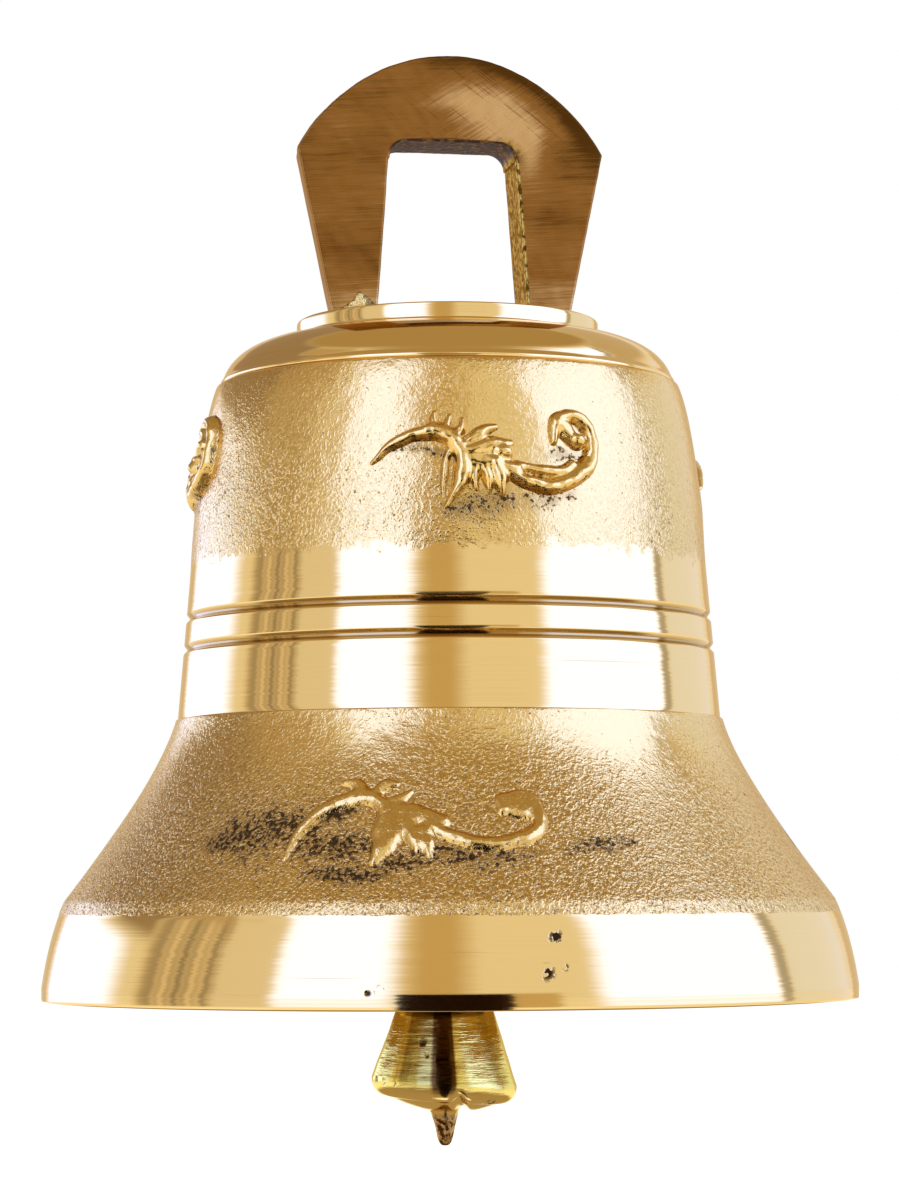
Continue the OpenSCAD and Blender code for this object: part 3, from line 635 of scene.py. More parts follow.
def scroll_mesh(name, azimuth, lift, kind, s, relief):
    """A scroll: wall + outward direction * height, raised by the strokes and sunk in the skin beside them."""
    middle, radius, strokes, soot_and_shade = scroll_frame(kind, lift, s, relief)
    barrel = kind == "barrel"
    full_height = relief.barrel_relief if barrel else relief.waist_relief
    right = 17.0 if barrel else 19.0
    along, up = np.meshgrid(np.arange(-18.6, right, relief.cell), np.arange(-8.2, 9.0, relief.cell))
    wobble = 0.12 * waves(along, up, 5, [6.0, 3.5])
    field = full_height * over_strokes(along + wobble, up - wobble, strokes, 26, stroke_ridge)
    field = soften(field, 2 if barrel else 4)
    field = field * (1 + 0.06 * waves(along, up, 8, [2.5, 1.6]))
    ground = relief.sink * (1 - smooth(0.0, 0.3, field))
    arc, *wall = wall_section(s)
    wall_radius, wall_height, lean_r, lean_h = (np.interp(middle + up, arc, values) for values in wall)
    turn = math.radians(azimuth) + along / radius
    wall_radius = wall_radius + ripple(turn, wall_height, s.ripple) * (1 - outer_finish(wall_height))

    def raised(amount):
        r = wall_radius + lean_r * amount
        return np.stack([r * np.sin(turn), -r * np.cos(turn), wall_height + lean_h * amount + LIP_Z], -1)

    share = field / full_height
    # Darkness of the scroll: darker on the sunk ground round the strokes, soot beside them, and painted shade
    # on the flanks
    dark = 0.55 * (1 - smooth(0.06, 0.30, field)) if barrel else 0.25 * (1 - smooth(0.04, 0.2, field))
    dark = np.maximum(dark, over_strokes(along, up, soot_and_shade, 20, stroke_haze) * (1 - smooth(0.15, 0.45, share)))
    # Painted shade on the flanks: most on the lower ones, which face down, less on the upper ones
    climb = np.gradient(field, relief.cell, axis=0)
    dark = np.maximum(dark, 0.85 * smooth(0.30, 1.2, climb) + 0.45 * smooth(0.5, 1.3, -climb))
    grain = 0.55 - (0.38 if barrel else 0.22) * smooth(0.1, 0.5, share)
    none = np.zeros(field.shape)
    values = {"finish": none, "inside": none, "soot_and_shade": dark, "grain": grain}
    return pillow_mesh(name, raised(field - ground), raised(none - relief.backing), values)


# Form of the hanging bar and its filler metal

def loop_outlines(s):
    """Outer and inner outline of the bar from the left foot over the brow to the right, point by point."""
    leg, top, corner = 44, 48, 18
    shoulder = [s.width / 2, -s.shoulder_drop]
    flank = [shoulder[0] - s.flank * s.flank_lean, shoulder[1] + s.flank]
    foot = [s.foot_width / 2, -s.window_height]
    outer = np.vstack([path([0, s.crest], (top, [s.brow, s.crest], flank, shoulder), (leg, foot)), foot])
    half_top, half_low, r = s.window_top / 2, s.window_low / 2, s.window_round
    lean = (half_low - half_top) / s.window_height
    turn = np.linspace(0, math.pi / 2, corner)
    arc = np.stack([half_top - r * (1 - np.sin(turn)), -r * (1 - np.cos(turn))], -1)
    window_foot = [half_low, -s.window_height]
    inner = np.vstack([path([0, 0], (top - corner + 1, arc[0])), arc[1:],
                       path([half_top + lean * r, -r], (leg, window_foot)), window_foot])
    outer, inner = (np.vstack([(half * [-1, 1])[::-1], half[1:]]) for half in (outer, inner))
    return outer + [s.shift, 0], inner + [s.shift + s.window_shift, 0]


def bar_section(s, count=16):
    """Closed section of the bar: share of the way from outer to inner outline, an offset and a depth.

    It is the front and the inner face, and then the same two turned about the middle.
    """
    half, edge = s.thickness / 2, s.edge
    turn = np.linspace(0, math.pi / 2, 5)[1:-1]
    across = np.concatenate([[0, 0.015], np.linspace(0.06, 0.94, count - 4), [0.985, 1]])
    deep = np.linspace(-half + edge, half - edge, 9)
    rows = [(k, edge * (1 - 2 * k), -half) for k in across]
    rows += [(1, -edge + edge * math.sin(a), -half + edge - edge * math.cos(a)) for a in turn]
    rows += [(1, 0, y) for y in deep]
    rows += [(1, -edge + edge * math.cos(a), half - edge + edge * math.sin(a)) for a in turn]
    return np.vstack([rows, [1, 0, 0] - np.array(rows)]).T


# Painted sheen on the bar in place of its reflections: place across and up, reach across and up, and change
# of tone
SHEEN_SPOTS = (
    (3.4, 6.4, 6.4, 3.0, 0.50),
    (8.0, 2.8, 4.6, 3.4, 0.50),
    (12.0, -1.8, 2.6, 3.8, 0.42),
    (20.5, 0.0, 5.0, 6.0, -0.22),
)


def loop_painted_sheen(x, z, border):
    """Brightness of the bar's painted sheen in place of its reflections, 0.5 where plain: soft spots, a dark
    brow, paler feet.
    """
    brow = (1 - smooth(0.0, 4.2, border)) * smooth(-6.0, 2.0, z)
    painted_sheen = 0.47 + 0.24 * (1 - smooth(-26.0, -16.0, z)) - brow * (0.10 + 0.34 * smooth(-8.0, 10.0, x))
    for across, up, wide, tall, change in SHEEN_SPOTS:
        painted_sheen = painted_sheen + change * spot(x, z, (across, up), (wide, tall))
    return painted_sheen


def loop_mesh(s):
    """Bar between two outlines: outer + (inner - outer) * share, with hand-filed waves on every face."""
    outer, inner = loop_outlines(s)
    share, offset, depth = bar_section(s)
    span = inner - outer
    size = np.hypot(*span.T)[:, None]
    way = span / size
    reach = share * size + offset
    x = outer[:, :1] + way[:, :1] * reach
    z = outer[:, 1:] + way[:, 1:] * reach
    filed = 0.10 * waves(x, z, 21, [14.0, 8.0]) + 0.03 * waves(x, z, 22, [3.0, 2.0])
    y = depth * (1 + np.where(depth < 0, filed, -filed) / (s.thickness / 2))
    x = x - s.splay * (1 - share) * np.clip(0.5 - y / s.thickness, 0, 1) * smooth(-5.0, 10.0, -x)
    border = 0.04 * waves(z + 3 * x, y * 2, 23, [9.0, 4.0])
    keep = smooth(-s.window_height, -s.window_height + 2.0, z)
    x = x + way[:, :1] * border * keep
    z = z + way[:, 1:] * border * keep
    grid = np.stack([x, y, z], -1)
    ends = np.stack([grid[0].mean(0), grid[-1].mean(0)])
    inner_face = smooth(0.995, 1.0, share)
    burr = spot(x, z, (8.6, -1.4), (2.2, 2.4)) * smooth(0.86, 0.97, share)
    values = {
        "inner_face": np.maximum(inner_face * smooth(3.0, 6.0, x), burr),
        "under_bar": inner_face * smooth(-2.2, -0.8, z),
        # Painted sheen: lighter and darker patches in place of the bar's reflections
        "painted_sheen": loop_painted_sheen(x, z, reach),
        "slanted": np.clip(1.3 * spot(x, z, (5.5, 4.0), (11.0, 7.5)), 0, 1),
    }
    return tube_mesh("filed_loop", grid, ends, values, 30.0)


def braze_mesh(name, side, s):
    """Bead round one foot: foot's edge + outward * size * cos v, and size * sin v up, with a lumpy size."""
    end = -1 if side > 0 else 0
    foot = sorted(outline[end, 0] for outline in loop_outlines(s))
    half_w, half_d = (foot[1] - foot[0]) / 2, s.thickness / 2
    corners = np.array([[1, -1], [1, 1], [-1, 1], [-1, -1], [1, -1]]) * [half_w, half_d]
    lengths = np.concatenate([[0], np.cumsum(np.hypot(*np.diff(corners, axis=0).T))])
    at = np.linspace(0, lengths[-1], 160, endpoint=False)[:, None]
    middle = np.hstack([np.interp(at, lengths, corners[:, k]) for k in range(2)])
    middle = np.stack([soften(np.tile(middle[:, k], (3, 1)), 1)[1] for k in range(2)], -1)
    step = np.roll(middle, -1, axis=0) - np.roll(middle, 1, axis=0)
    step /= np.hypot(*step.T)[:, None]
    out_x, out_y = step[:, 1:], -step[:, :1]
    v = np.linspace(0, FULL_TURN, 28, endpoint=False)
    size = 0.85 + 0.28 * waves(at, v * 0.6, 31 + side, [7.0, 3.0, 1.6])
    flare = 1 + (0.9 if side > 0 else 0.3) * smooth(0.2, 1.0, side * out_x)
    x = sum(foot) / 2 + middle[:, :1] + out_x * size * flare * np.cos(v)
    y = middle[:, 1:] + out_y * size * flare * np.cos(v)
    z = -s.window_height + 0.05 + size * np.sin(v) * (0.95 if side < 0 else 0.7)
    if side < 0:
        crumb = 2.5 + 0.6 * waves(at, v * 0.4, 33, [1.4, 0.9])
        z = z + crumb * spot(at, 0, (lengths[-1] - 2.4, 0), (2.4, 1)) * smooth(0.1, 0.9, np.sin(v))
    return ring_mesh(name, np.stack([x, y, z], -1))


# Form of the clapper's head

def head_mesh(s):
    """Cone and nib round the clapper's axis: (r sin t, -(r + swell) cos t, h), with lobes in r low down."""
    rim, edge, neck = s.rim, s.rim_round, s.neck
    points = path([0.4, s.top], (4, [neck - 0.3, s.top]), (4, [neck, s.top], [neck + 0.1, s.top - 0.3]),
                  (60, [s.radius - 0.05, rim]), (10, [s.radius, rim - edge], [s.radius - edge, rim - edge]),
                  (26, [5.6, s.dish + 0.5], [s.nib_root, s.dish]),
                  (16, [s.nib_tip + 0.8, s.dish - 0.9], [s.nib_tip + 0.35, s.tip + 2.0]),
                  (10, [s.nib_tip, s.tip], [0.3, s.tip]))
    turn = np.linspace(0, FULL_TURN, 180, endpoint=False)
    plain, h = np.hsplit(points, 2)
    low = smooth(2.0, 13.0, -h)
    lobes = 0.10 * np.sin(3 * turn + 0.9) + 0.05 * np.sin(5 * turn + 2.2)
    r = plain * (1 - 0.006 * low) + lobes * low * smooth(3, 9, plain)
    r = r + 0.03 * waves(turn * 10, h, 41, [6.0, 3.0]) * smooth(3, 5, plain)
    swell = np.interp(h, [rim, s.swell_height, s.top - 2], [0, s.swell, 0]) * (h > rim)
    nib = smooth(-s.dish, -s.tip, -h)
    r = r * (1 + 0.16 * nib * np.sin(2 * turn + 0.5) + 0.08 * nib * np.sin(5 * turn))
    x = np.minimum(r, s.radius + 0.2) * np.sin(turn)
    y = -np.minimum(r + swell, s.radius) * np.cos(turn)
    aim = math.radians(s.swell_turn)
    under = 1 - smooth(rim - edge, rim + 0.4, h)
    notch = spot(x, 0, (2.7, 0), (0.9, 1)) * (1 - nib)
    z = np.clip(h + notch * under - s.rim_tilt * x * low * (1 - nib), s.tip, s.top)
    grid = np.stack([x * math.cos(aim) - y * math.sin(aim) + s.middle, x * math.sin(aim) + y * math.cos(aim),
                     z + LIP_Z], -1)
    ends = np.array([[s.middle, 0, s.top + LIP_Z], [s.middle, 0, s.tip + LIP_Z]])
    # Painted reflections on the cone over the rim: a dark strip where the camera would be mirrored, a dark
    # zone to its left and a spot on the right where dark surroundings would be
    degrees = np.degrees(turn_from(turn, 0))
    camera_reflection = smooth(-8, -3, degrees) * (1 - smooth(11, 16, degrees))
    left = smooth(-38, -33, degrees) * (1 - smooth(-8, -3, degrees))
    brown = 1.1 * camera_reflection + 0.52 * left + 0.4 * spot(degrees, 0, (52, 0), (14, 1))
    wide = np.ones(len(turn))
    values = {"raw": smooth(16.6, 17.8, -h) * wide, "film": under * wide, "painted_reflection": brown * (1 - under)}
    return tube_mesh("cast_clapper_head", grid, ends, values, 40.0)


# Finishes

class Recipe:
    """Short hand for building the nodes of one material or of the world."""

    def __init__(self, owner):
        self.owner = owner
        owner.use_nodes = True
        self.tree = owner.node_tree
        self.tree.nodes.clear()

    def add(self, kind, inputs=None, **settings):
        """A node with its settings; each input is a socket to link or a plain value."""
        made = self.tree.nodes.new(kind)
        for key, value in settings.items():
            setattr(made, key, value)
        for key, value in (inputs or {}).items():
            if isinstance(value, bpy.types.NodeSocket):
                self.tree.links.new(value, made.inputs[key])
            else:
                made.inputs[key].default_value = value
        return made

    def math(self, operation, a, b=0.0, clamp=False):
        """One calculation on two numbers."""
        return self.add("ShaderNodeMath", {0: a, 1: b}, operation=operation, use_clamp=clamp).outputs[0]

    def times(self, *numbers):
        """Product of numbers."""
        return reduce(lambda a, b: self.math("MULTIPLY", a, b), numbers)

    def plus(self, *numbers):
        """Sum of numbers."""
        return reduce(lambda a, b: self.math("ADD", a, b), numbers)

    def less(self, a, b):
        """The first number less the second."""
        return self.math("SUBTRACT", a, b)

    def centred(self, value):
        """The number less a half, so that its mean is near 0."""
        return self.less(value, 0.5)

    def vector(self, operation, a, b=(0, 0, 0)):
        """One calculation on two vectors."""
        return self.add("ShaderNodeVectorMath", {0: a, 1: b}, operation=operation)

    def stretched(self, place, sizes):
        """The place with each axis multiplied by its own number."""
        return self.vector("MULTIPLY", place, sizes).outputs[0]

    def ramp(self, value, low, high, to_low=0.0, to_high=1.0):
        """Smooth step of a number from one range to another."""
        span = {"Value": value, "From Min": low, "From Max": high, "To Min": to_low, "To Max": to_high}
        return self.add("ShaderNodeMapRange", span, interpolation_type="SMOOTHSTEP").outputs["Result"]

    def blend(self, share, first, second):
        """Mix of two colours; each is a socket or a plain colour."""
        inputs = {0: share}
        for index, value in ((6, first), (7, second)):
            inputs[index] = value if isinstance(value, bpy.types.NodeSocket) else (*value, 1.0)
        return self.add("ShaderNodeMix", inputs, data_type="RGBA").outputs[2]

    def noise(self, place, scale, detail=2.0, rough=0.55):
        """Cloudy noise between 0 and 1."""
        settings = {"Vector": place, "Scale": scale, "Detail": detail, "Roughness": rough}
        return self.add("ShaderNodeTexNoise", settings).outputs[0]

    def attribute(self, name, output="Fac"):
        """A number or colour stored on the mesh's points."""
        return self.add("ShaderNodeAttribute", attribute_name=name).outputs[output]

    def place(self):
        """Place on the piece in metres."""
        return self.add("ShaderNodeTexCoord").outputs["Object"]

    def surface(self, shader):
        """The material, ended in a shader."""
        self.add("ShaderNodeOutputMaterial", {"Surface": shader.outputs[0]})
        return self.owner

    def metal(self, base, roughness, height, edge=(1, 1, 1), bare=1.0, normal=None):
        """Metal over a relief in millimetres, less bare under a crust. The edge colour tints its mirror."""
        bump = self.add("ShaderNodeBump", {"Height": height, "Distance": MM, "Strength": 1.0})
        if normal is not None:
            self.tree.links.new(normal, bump.inputs["Normal"])
        return self.surface(self.add("ShaderNodeBsdfPrincipled", {
            "Metallic": bare, "Base Color": base, "Roughness": roughness, "Specular Tint": (*edge, 1.0),
            "Normal": bump.outputs[0]}))


def shade(tone, share):
    """A colour times a share."""
    return tuple(share * part for part in tone)


def lathe_place(m, place, sizes):
    """Coordinates for turned lines: slow round the bell, fast along the wall, on any slope."""
    x, y, z = m.add("ShaderNodeSeparateXYZ", {0: place}).outputs
    wall = m.less(z, m.math("SQRT", m.plus(m.times(x, x), m.times(y, y))))
    return m.stretched(m.add("ShaderNodeCombineXYZ", {0: x, 1: y, 2: wall}).outputs[0], sizes)


def chattered_normal(m, amount):
    """Normal turned a little round the upright axis, so that upright reflections get ragged edges."""
    normal = m.add("ShaderNodeNewGeometry").outputs["Normal"]
    sideways = m.vector("CROSS_PRODUCT", (0, 0, 1), normal).outputs[0]
    turned = m.add("ShaderNodeVectorMath", {0: sideways, "Scale": amount}, operation="SCALE").outputs[0]
    return m.vector("NORMALIZE", m.vector("ADD", normal, turned).outputs[0]).outputs[0]


def lip_pores(shape):
    """Casting pores on the slope of the bright lip: azimuth, height over the lip, radius and reach."""
    heights = (0, shape.lip_edge, 8, shape.lip_band_top)
    radii = (shape.lip_radius, shape.lip_radius, 58.7, shape.lip_band_radius)
    pores = ((3.9, 9.6, 1.5), (2.4, 5.0, 1.6), (4.9, 5.6, 0.7), (-18.9, 2.8, 0.9), (-20.4, 2.4, 0.6))
    return [(azimuth, height, np.interp(height, heights, radii), reach) for azimuth, height, reach in pores]


# Casting pores in the clapper's head, in the same form
HEAD_PORES = (
    (-52, -4.7, 7.6, 0.6),
    (-27, -6.0, 9.6, 1.1),
    (-24, -7.9, 9.8, 0.8),
    (80, -12.6, 10.7, 0.9),
    (-80, -11.6, 10.8, 0.8),
    (-67, -11.8, 10.8, 0.8),
    (-54, -12.0, 10.8, 0.7),
    (33, -14.9, 9.4, 1.3),
)


def pore_mask(m, place, pores, scale, threshold, middle=0.0):
    """1 in small pits that lie close to one of the pores round the axis at the middle."""
    masks = []
    for azimuth, height, radius, reach in pores:
        turn = math.radians(azimuth)
        pore = (radius * math.sin(turn) + middle, -radius * math.cos(turn), height + LIP_Z)
        away = m.vector("DISTANCE", place, tuple(MM * value for value in pore)).outputs["Value"]
        masks.append(m.ramp(away, reach * MM, reach * 0.35 * MM))
    near = reduce(lambda a, b: m.math("MAXIMUM", a, b), masks)
    return m.times(near, m.ramp(m.noise(place, scale, 2.0), threshold, threshold + 0.08))


def cast_brass(name, finish, skin_tone, shape):
    """Casting: bright turned zones with lathe lines, grainy skin between them, soot beside the relief,
    painted shade on the scrolls' flanks and in the turned grooves.
    """
    m = Recipe(bpy.data.materials.new(name))
    place = m.place()
    inside, coarse = m.attribute("inside"), m.attribute("grain")
    ragged = m.times(m.centred(m.noise(place, 520.0, 3.0, 0.6)), 1.2)
    turned = m.ramp(m.plus(m.attribute("finish"), ragged), 0.40, 0.62)
    raw = m.less(1.0, turned)

    lines = m.noise(lathe_place(m, place, (7.0, 7.0, 3600.0)), 1.0, 2.0, 0.6)
    scratch = m.ramp(m.noise(lathe_place(m, place, (26.0, 26.0, 1700.0)), 1.0, 1.0), 0.72, 0.80)
    grain = m.centred(m.noise(place, 2200.0, 1.6, 0.55))
    fine = m.centred(m.noise(place, 4600.0, 1.0, 0.5))
    lumps = m.centred(m.noise(place, 420.0, 1.5, 0.5))
    blobs = m.ramp(m.centred(m.noise(place, 1300.0, 1.2, 0.5)), 0.0, 0.22)
    patchy = m.ramp(m.noise(place, 360.0, 2.0), 0.36, 0.60, 0.55, 1.15)
    # The soot attribute also carries the painted shade on the scrolls' flanks
    soot_and_shade = m.times(m.attribute("soot_and_shade"), m.less(1.0, inside), patchy)
    pits = m.plus(m.noise(place, 1550.0, 2.0, 0.6), m.times(m.math("POWER", soot_and_shade, 0.6), 0.165),
                  m.times(m.less(coarse, 0.75), 0.13))
    pits = m.times(m.ramp(pits, 0.62, 0.76), raw)
    pores = pore_mask(m, place, lip_pores(shape), 900.0, 0.50)

    dip = m.times(m.ramp(grain, 0.02, -0.16), 0.45)
    skin = m.blend(m.times(dip, coarse), skin_tone, finish.skin_dark)
    skin = m.blend(inside, skin, m.blend(dip, finish.inner, shade(finish.inner, 0.45)))
    bright = m.blend(m.ramp(lines, 0.3, 0.7, 0.0, 0.10), finish.bright, shade(finish.bright, 0.82))
    bright = m.blend(m.times(scratch, 0.55), bright, shade(finish.bright, 0.45))
    # Turned grooves painted darker: painted shade in the grooves
    bright = m.blend(m.times(m.attribute("groove"), 0.62), bright, finish.skin_dark)
    base = m.blend(turned, skin, bright)
    smear = m.times(soot_and_shade, m.plus(m.times(m.centred(m.noise(place, 650.0, 3.0, 0.65)), 1.6), 0.9))
    base = m.blend(m.times(m.ramp(smear, 0.0, 1.0), raw, 0.50), base, finish.skin_dark)
    burnt = m.blend(m.ramp(soot_and_shade, 0.05, 0.6), finish.skin_dark, finish.soot_and_shade)
    base = m.blend(m.times(pits, 0.92), base, burnt)
    base = m.blend(pores, base, finish.soot_and_shade)

    roughness = m.plus(m.ramp(turned, 0, 1, 0.17, 0.085), m.times(inside, raw, 0.24))
    roughness = m.math("ADD", roughness, m.times(pits, 0.30), clamp=True)
    chatter = m.times(m.centred(lines), m.times(turned, 0.036))
    skin_height = m.plus(m.times(grain, 0.060), m.times(fine, 0.030),
                         m.times(m.ramp(grain, 0.0, 0.24), 0.052), m.times(blobs, m.attribute("big"), 0.07))
    skin_height = m.times(m.plus(m.times(skin_height, coarse), m.times(lumps, 0.10)), raw)
    line_height = m.times(m.less(lines, m.times(scratch, 0.8)), m.times(turned, 0.004))
    sunk = m.plus(m.times(pits, 0.07), m.times(pores, 0.05))
    height = m.less(m.plus(skin_height, line_height), sunk)
    return m.metal(base, roughness, height, (1.0, 0.92, 0.78), normal=chattered_normal(m, chatter))


def filed_brass(finish):
    """Hanging bar: browner metal with brush lines, slanting ones over the window, and painted sheen in place
    of its reflections.
    """
    m = Recipe(bpy.data.materials.new("filed_brass"))
    place = m.place()

    def brushed(degrees, along, across, detail):
        turn = (0, math.radians(degrees), 0)
        turned = m.add("ShaderNodeMapping", {"Vector": place, "Rotation": turn}).outputs[0]
        return m.noise(m.stretched(turned, (along, 900.0, across)), 1.0, detail, 0.6)

    slanted, under = m.attribute("slanted"), m.attribute("under_bar")
    level, slope = brushed(4, 150.0, 4600.0, 3.0), brushed(33, 150.0, 4600.0, 3.0)
    lines = m.plus(m.times(level, m.less(1.0, slanted)), m.times(slope, slanted))
    broad, clouds = brushed(8, 60.0, 330.0, 2.0), m.noise(place, 120.0, 2.0, 0.55)
    scratches = m.times(m.ramp(brushed(-38, 90.0, 2900.0, 1.0), 0.62, 0.70), slanted)
    # Tone of the bar: the painted sheen in place of its reflections, plus brush lines and random clouds
    tone = m.plus(m.attribute("painted_sheen"), m.times(m.centred(lines), 0.62), m.times(m.centred(broad), 0.36),
                  m.times(m.centred(clouds), 0.45))
    tone = m.less(tone, m.times(scratches, 0.22))
    base = m.blend(m.ramp(tone, 0.05, 0.5), finish.filed_dark, finish.filed)
    base = m.blend(m.ramp(tone, 0.5, 1.0), base, finish.filed_pale)
    golden = m.blend(m.ramp(m.noise(place, 1100.0, 2.0), 0.38, 0.60), finish.sawn, finish.filed_dark)
    base = m.blend(m.attribute("inner_face"), base, golden)
    crust = m.ramp(m.noise(place, 700.0, 3.0, 0.65), 0.44, 0.62)
    base = m.blend(under, base, m.blend(crust, finish.crust, shade(finish.filed, 0.75)))
    roughness = m.plus(m.ramp(lines, 0.2, 0.8, 0.22, 0.36), m.times(under, 0.4))
    height = m.plus(m.times(lines, 0.016), m.times(scratches, -0.012), m.times(crust, under, 0.25))
    return m.metal(base, roughness, height, (0.84, 0.60, 0.40), bare=m.less(1.0, under))


def braze_metal(finish):
    """Filler metal: yellow, run and lumpy, with dark flux in its low places."""
    m = Recipe(bpy.data.materials.new("braze_metal"))
    place = m.place()
    lumps = m.noise(place, 1100.0, 3.0, 0.65)
    flux = m.ramp(m.noise(place, 800.0, 2.0), 0.47, 0.60)
    base = m.blend(m.times(flux, 0.7), finish.braze, finish.filed_dark)
    return m.metal(base, m.ramp(lumps, 0.3, 0.7, 0.16, 0.34), m.times(lumps, 0.45))


def clapper_brass(finish, middle):
    """Clapper's head: yellow casting with ragged marks, pores, painted dark reflections on the cone, a pale
    underside, a raw nib.
    """
    m = Recipe(bpy.data.materials.new("clapper_brass"))
    place = m.place()
    marks = m.noise(m.stretched(place, (170.0, 170.0, 2100.0)), 1.0, 3.0, 0.65)
    patches = m.noise(place, 300.0, 2.0)
    grain = m.noise(place, 1500.0, 2.0)
    pores = pore_mask(m, place, HEAD_PORES, 1500.0, 0.44, middle)
    raw, film = m.attribute("raw"), m.attribute("film")
    base = m.blend(m.ramp(marks, 0.5, 0.72, 0.0, 0.5), finish.clapper, shade(finish.clapper, 0.55))
    base = m.blend(film, base, finish.underside)
    # Painted reflections: the cone is darkened where the camera and dark surroundings would be mirrored,
    # broken up by the file marks
    reflection_and_marks = m.plus(m.attribute("painted_reflection"), m.times(m.centred(marks), 0.35))
    base = m.blend(m.ramp(reflection_and_marks, 0.12, 0.88, 0.0, 0.93), base, finish.painted_reflection)
    base = m.blend(raw, base, m.blend(m.ramp(grain, 0.4, 0.6), finish.filed_dark, finish.filed_pale))
    base = m.blend(m.times(pores, 0.95), base, finish.soot_and_shade)
    roughness = m.plus(m.ramp(patches, 0.3, 0.7, 0.10, 0.20), m.times(raw, 0.25))
    mark_depth = m.plus(m.times(m.less(1.0, film), 0.042), 0.012)
    height = m.plus(m.times(marks, mark_depth), m.times(patches, 0.03), m.times(grain, raw, 0.12))
    return m.metal(base, roughness, m.less(height, m.times(pores, 0.15)), (1.0, 0.92, 0.60))


def drawn_steel(finish):
    """Steel links: drawn lines, a dull film and brown stains in the joints."""
    m = Recipe(bpy.data.materials.new("drawn_steel"))
    place = m.place()
    lines = m.noise(m.stretched(place, (900.0, 900.0, 240.0)), 1.0, 3.0, 0.6)
    stain = m.ramp(m.noise(place, 160.0, 3.0, 0.65), 0.52, 0.70)
    fine = m.noise(place, 2200.0, 2.0)
    base = m.blend(m.ramp(lines, 0.3, 0.7, 0.0, 0.35), finish.steel, shade(finish.steel, 0.6))
    base = m.blend(m.times(stain, 0.55), base, finish.rust)
    roughness = m.plus(m.ramp(fine, 0.3, 0.7, 0.22, 0.36), m.times(stain, 0.2))
    return m.metal(base, roughness, m.plus(m.times(lines, 0.012), m.times(fine, 0.006)))


# Studio

def direction(azimuth, elevation):
    """Unit vectors from the bell, to the right of the camera by an azimuth and up by an elevation."""
    turn, rise = np.radians(azimuth + CAMERA_AZIMUTH), np.radians(elevation)
    return np.stack([np.cos(rise) * np.sin(turn), -np.cos(rise) * np.cos(turn), np.sin(rise)], -1)


def cards(panel):
    """What the metal mirrors: name, azimuths, elevations, distance, colour, soft borders, depth of stripes.

    The soft borders are those on the left, on the right, and above and below, in degrees.
    """
    light = (panel * 0.323, panel * 0.428, panel)
    return (
        ("left_panel", (-51, -11), (-7, 50), 1500, light, (5, 9, 5), 0),
        ("right_panel", (37, 103), (-7, 50), 1500, light, (8, 2, 5), 0),
        ("left_board", (-98, -66), (-8, 30), 1700, (0.64, 0.57, 0.49), (5, 3, 5), 0.35),
        ("left_cloth", (-68, -48), (-8, 34), 1750, (0.93, 0.92, 0.95), (2, 2, 5), 0),
        ("left_panel_far", (-152, -100), (-7, 17), 1700, light, (5, 12, 4), 0),
        ("left_wall_low", (-96, -56), (20, 52), 1780, (0.62, 0.50, 0.36), (4, 6, 5), 0),
        ("left_wall_high", (-182, -90), (15, 54), 1770, (0.40, 0.32, 0.26), (2, 8, 5), 0),
        ("middle_board", (-16, 10), (-9, 52), 1300, (0.70, 0.565, 0.34), (9, 10, 6), 0),
        ("right_post", (102, 108), (-8, 50), 1300, (0.50, 0.52, 0.62), (1.5, 2, 5), 0),
        ("right_cloth", (107, 150), (-7, 28), 1760, (1.0, 1.15, 1.7), (3, 8, 6), 0),
        ("right_wall", (106, 182), (26, 54), 1790, (0.68, 0.60, 0.52), (6, 2, 6), 0),
        ("back_wall", (150, 208), (-12, 26), 1740, (0.75, 0.62, 0.42), (4, 4, 4), 0),
        ("middle_low", (4, 31), (-9, 11), 1250, (0.72, 0.58, 0.36), (4, 3, 3), 0),
        ("camera_shade", (-14, 17), (-14, 8), 800, (0.012, 0.005, 0.003), (1, 1, 1), 0),
        ("ground", (-180, 180), (-84, -32), 210, (0.42, 0.31, 0.19), (0, 0, 6), 0),
        ("ground_shade", (-12.5, 15), (-84, -11), 205, (0.016, 0.007, 0.004), (1, 1, 3), 0),
        ("roof", (-180, 180), (47, 90), 1900, (0.51, 0.39, 0.22), (0, 0, 7), 0),
    )


def card_material():
    """Plain light of the card's own colour, see-through where the card fades."""
    m = Recipe(bpy.data.materials.new("card_light"))
    light = m.add("ShaderNodeEmission", {"Color": m.attribute("glow", "Color"), "Strength": 1.0}).outputs[0]
    clear = m.add("ShaderNodeBsdfTransparent").outputs[0]
    material = m.surface(m.add("ShaderNodeMixShader", {0: m.attribute("cover"), 1: clear, 2: light}))
    material.cycles.emission_sampling = "NONE"
    return material


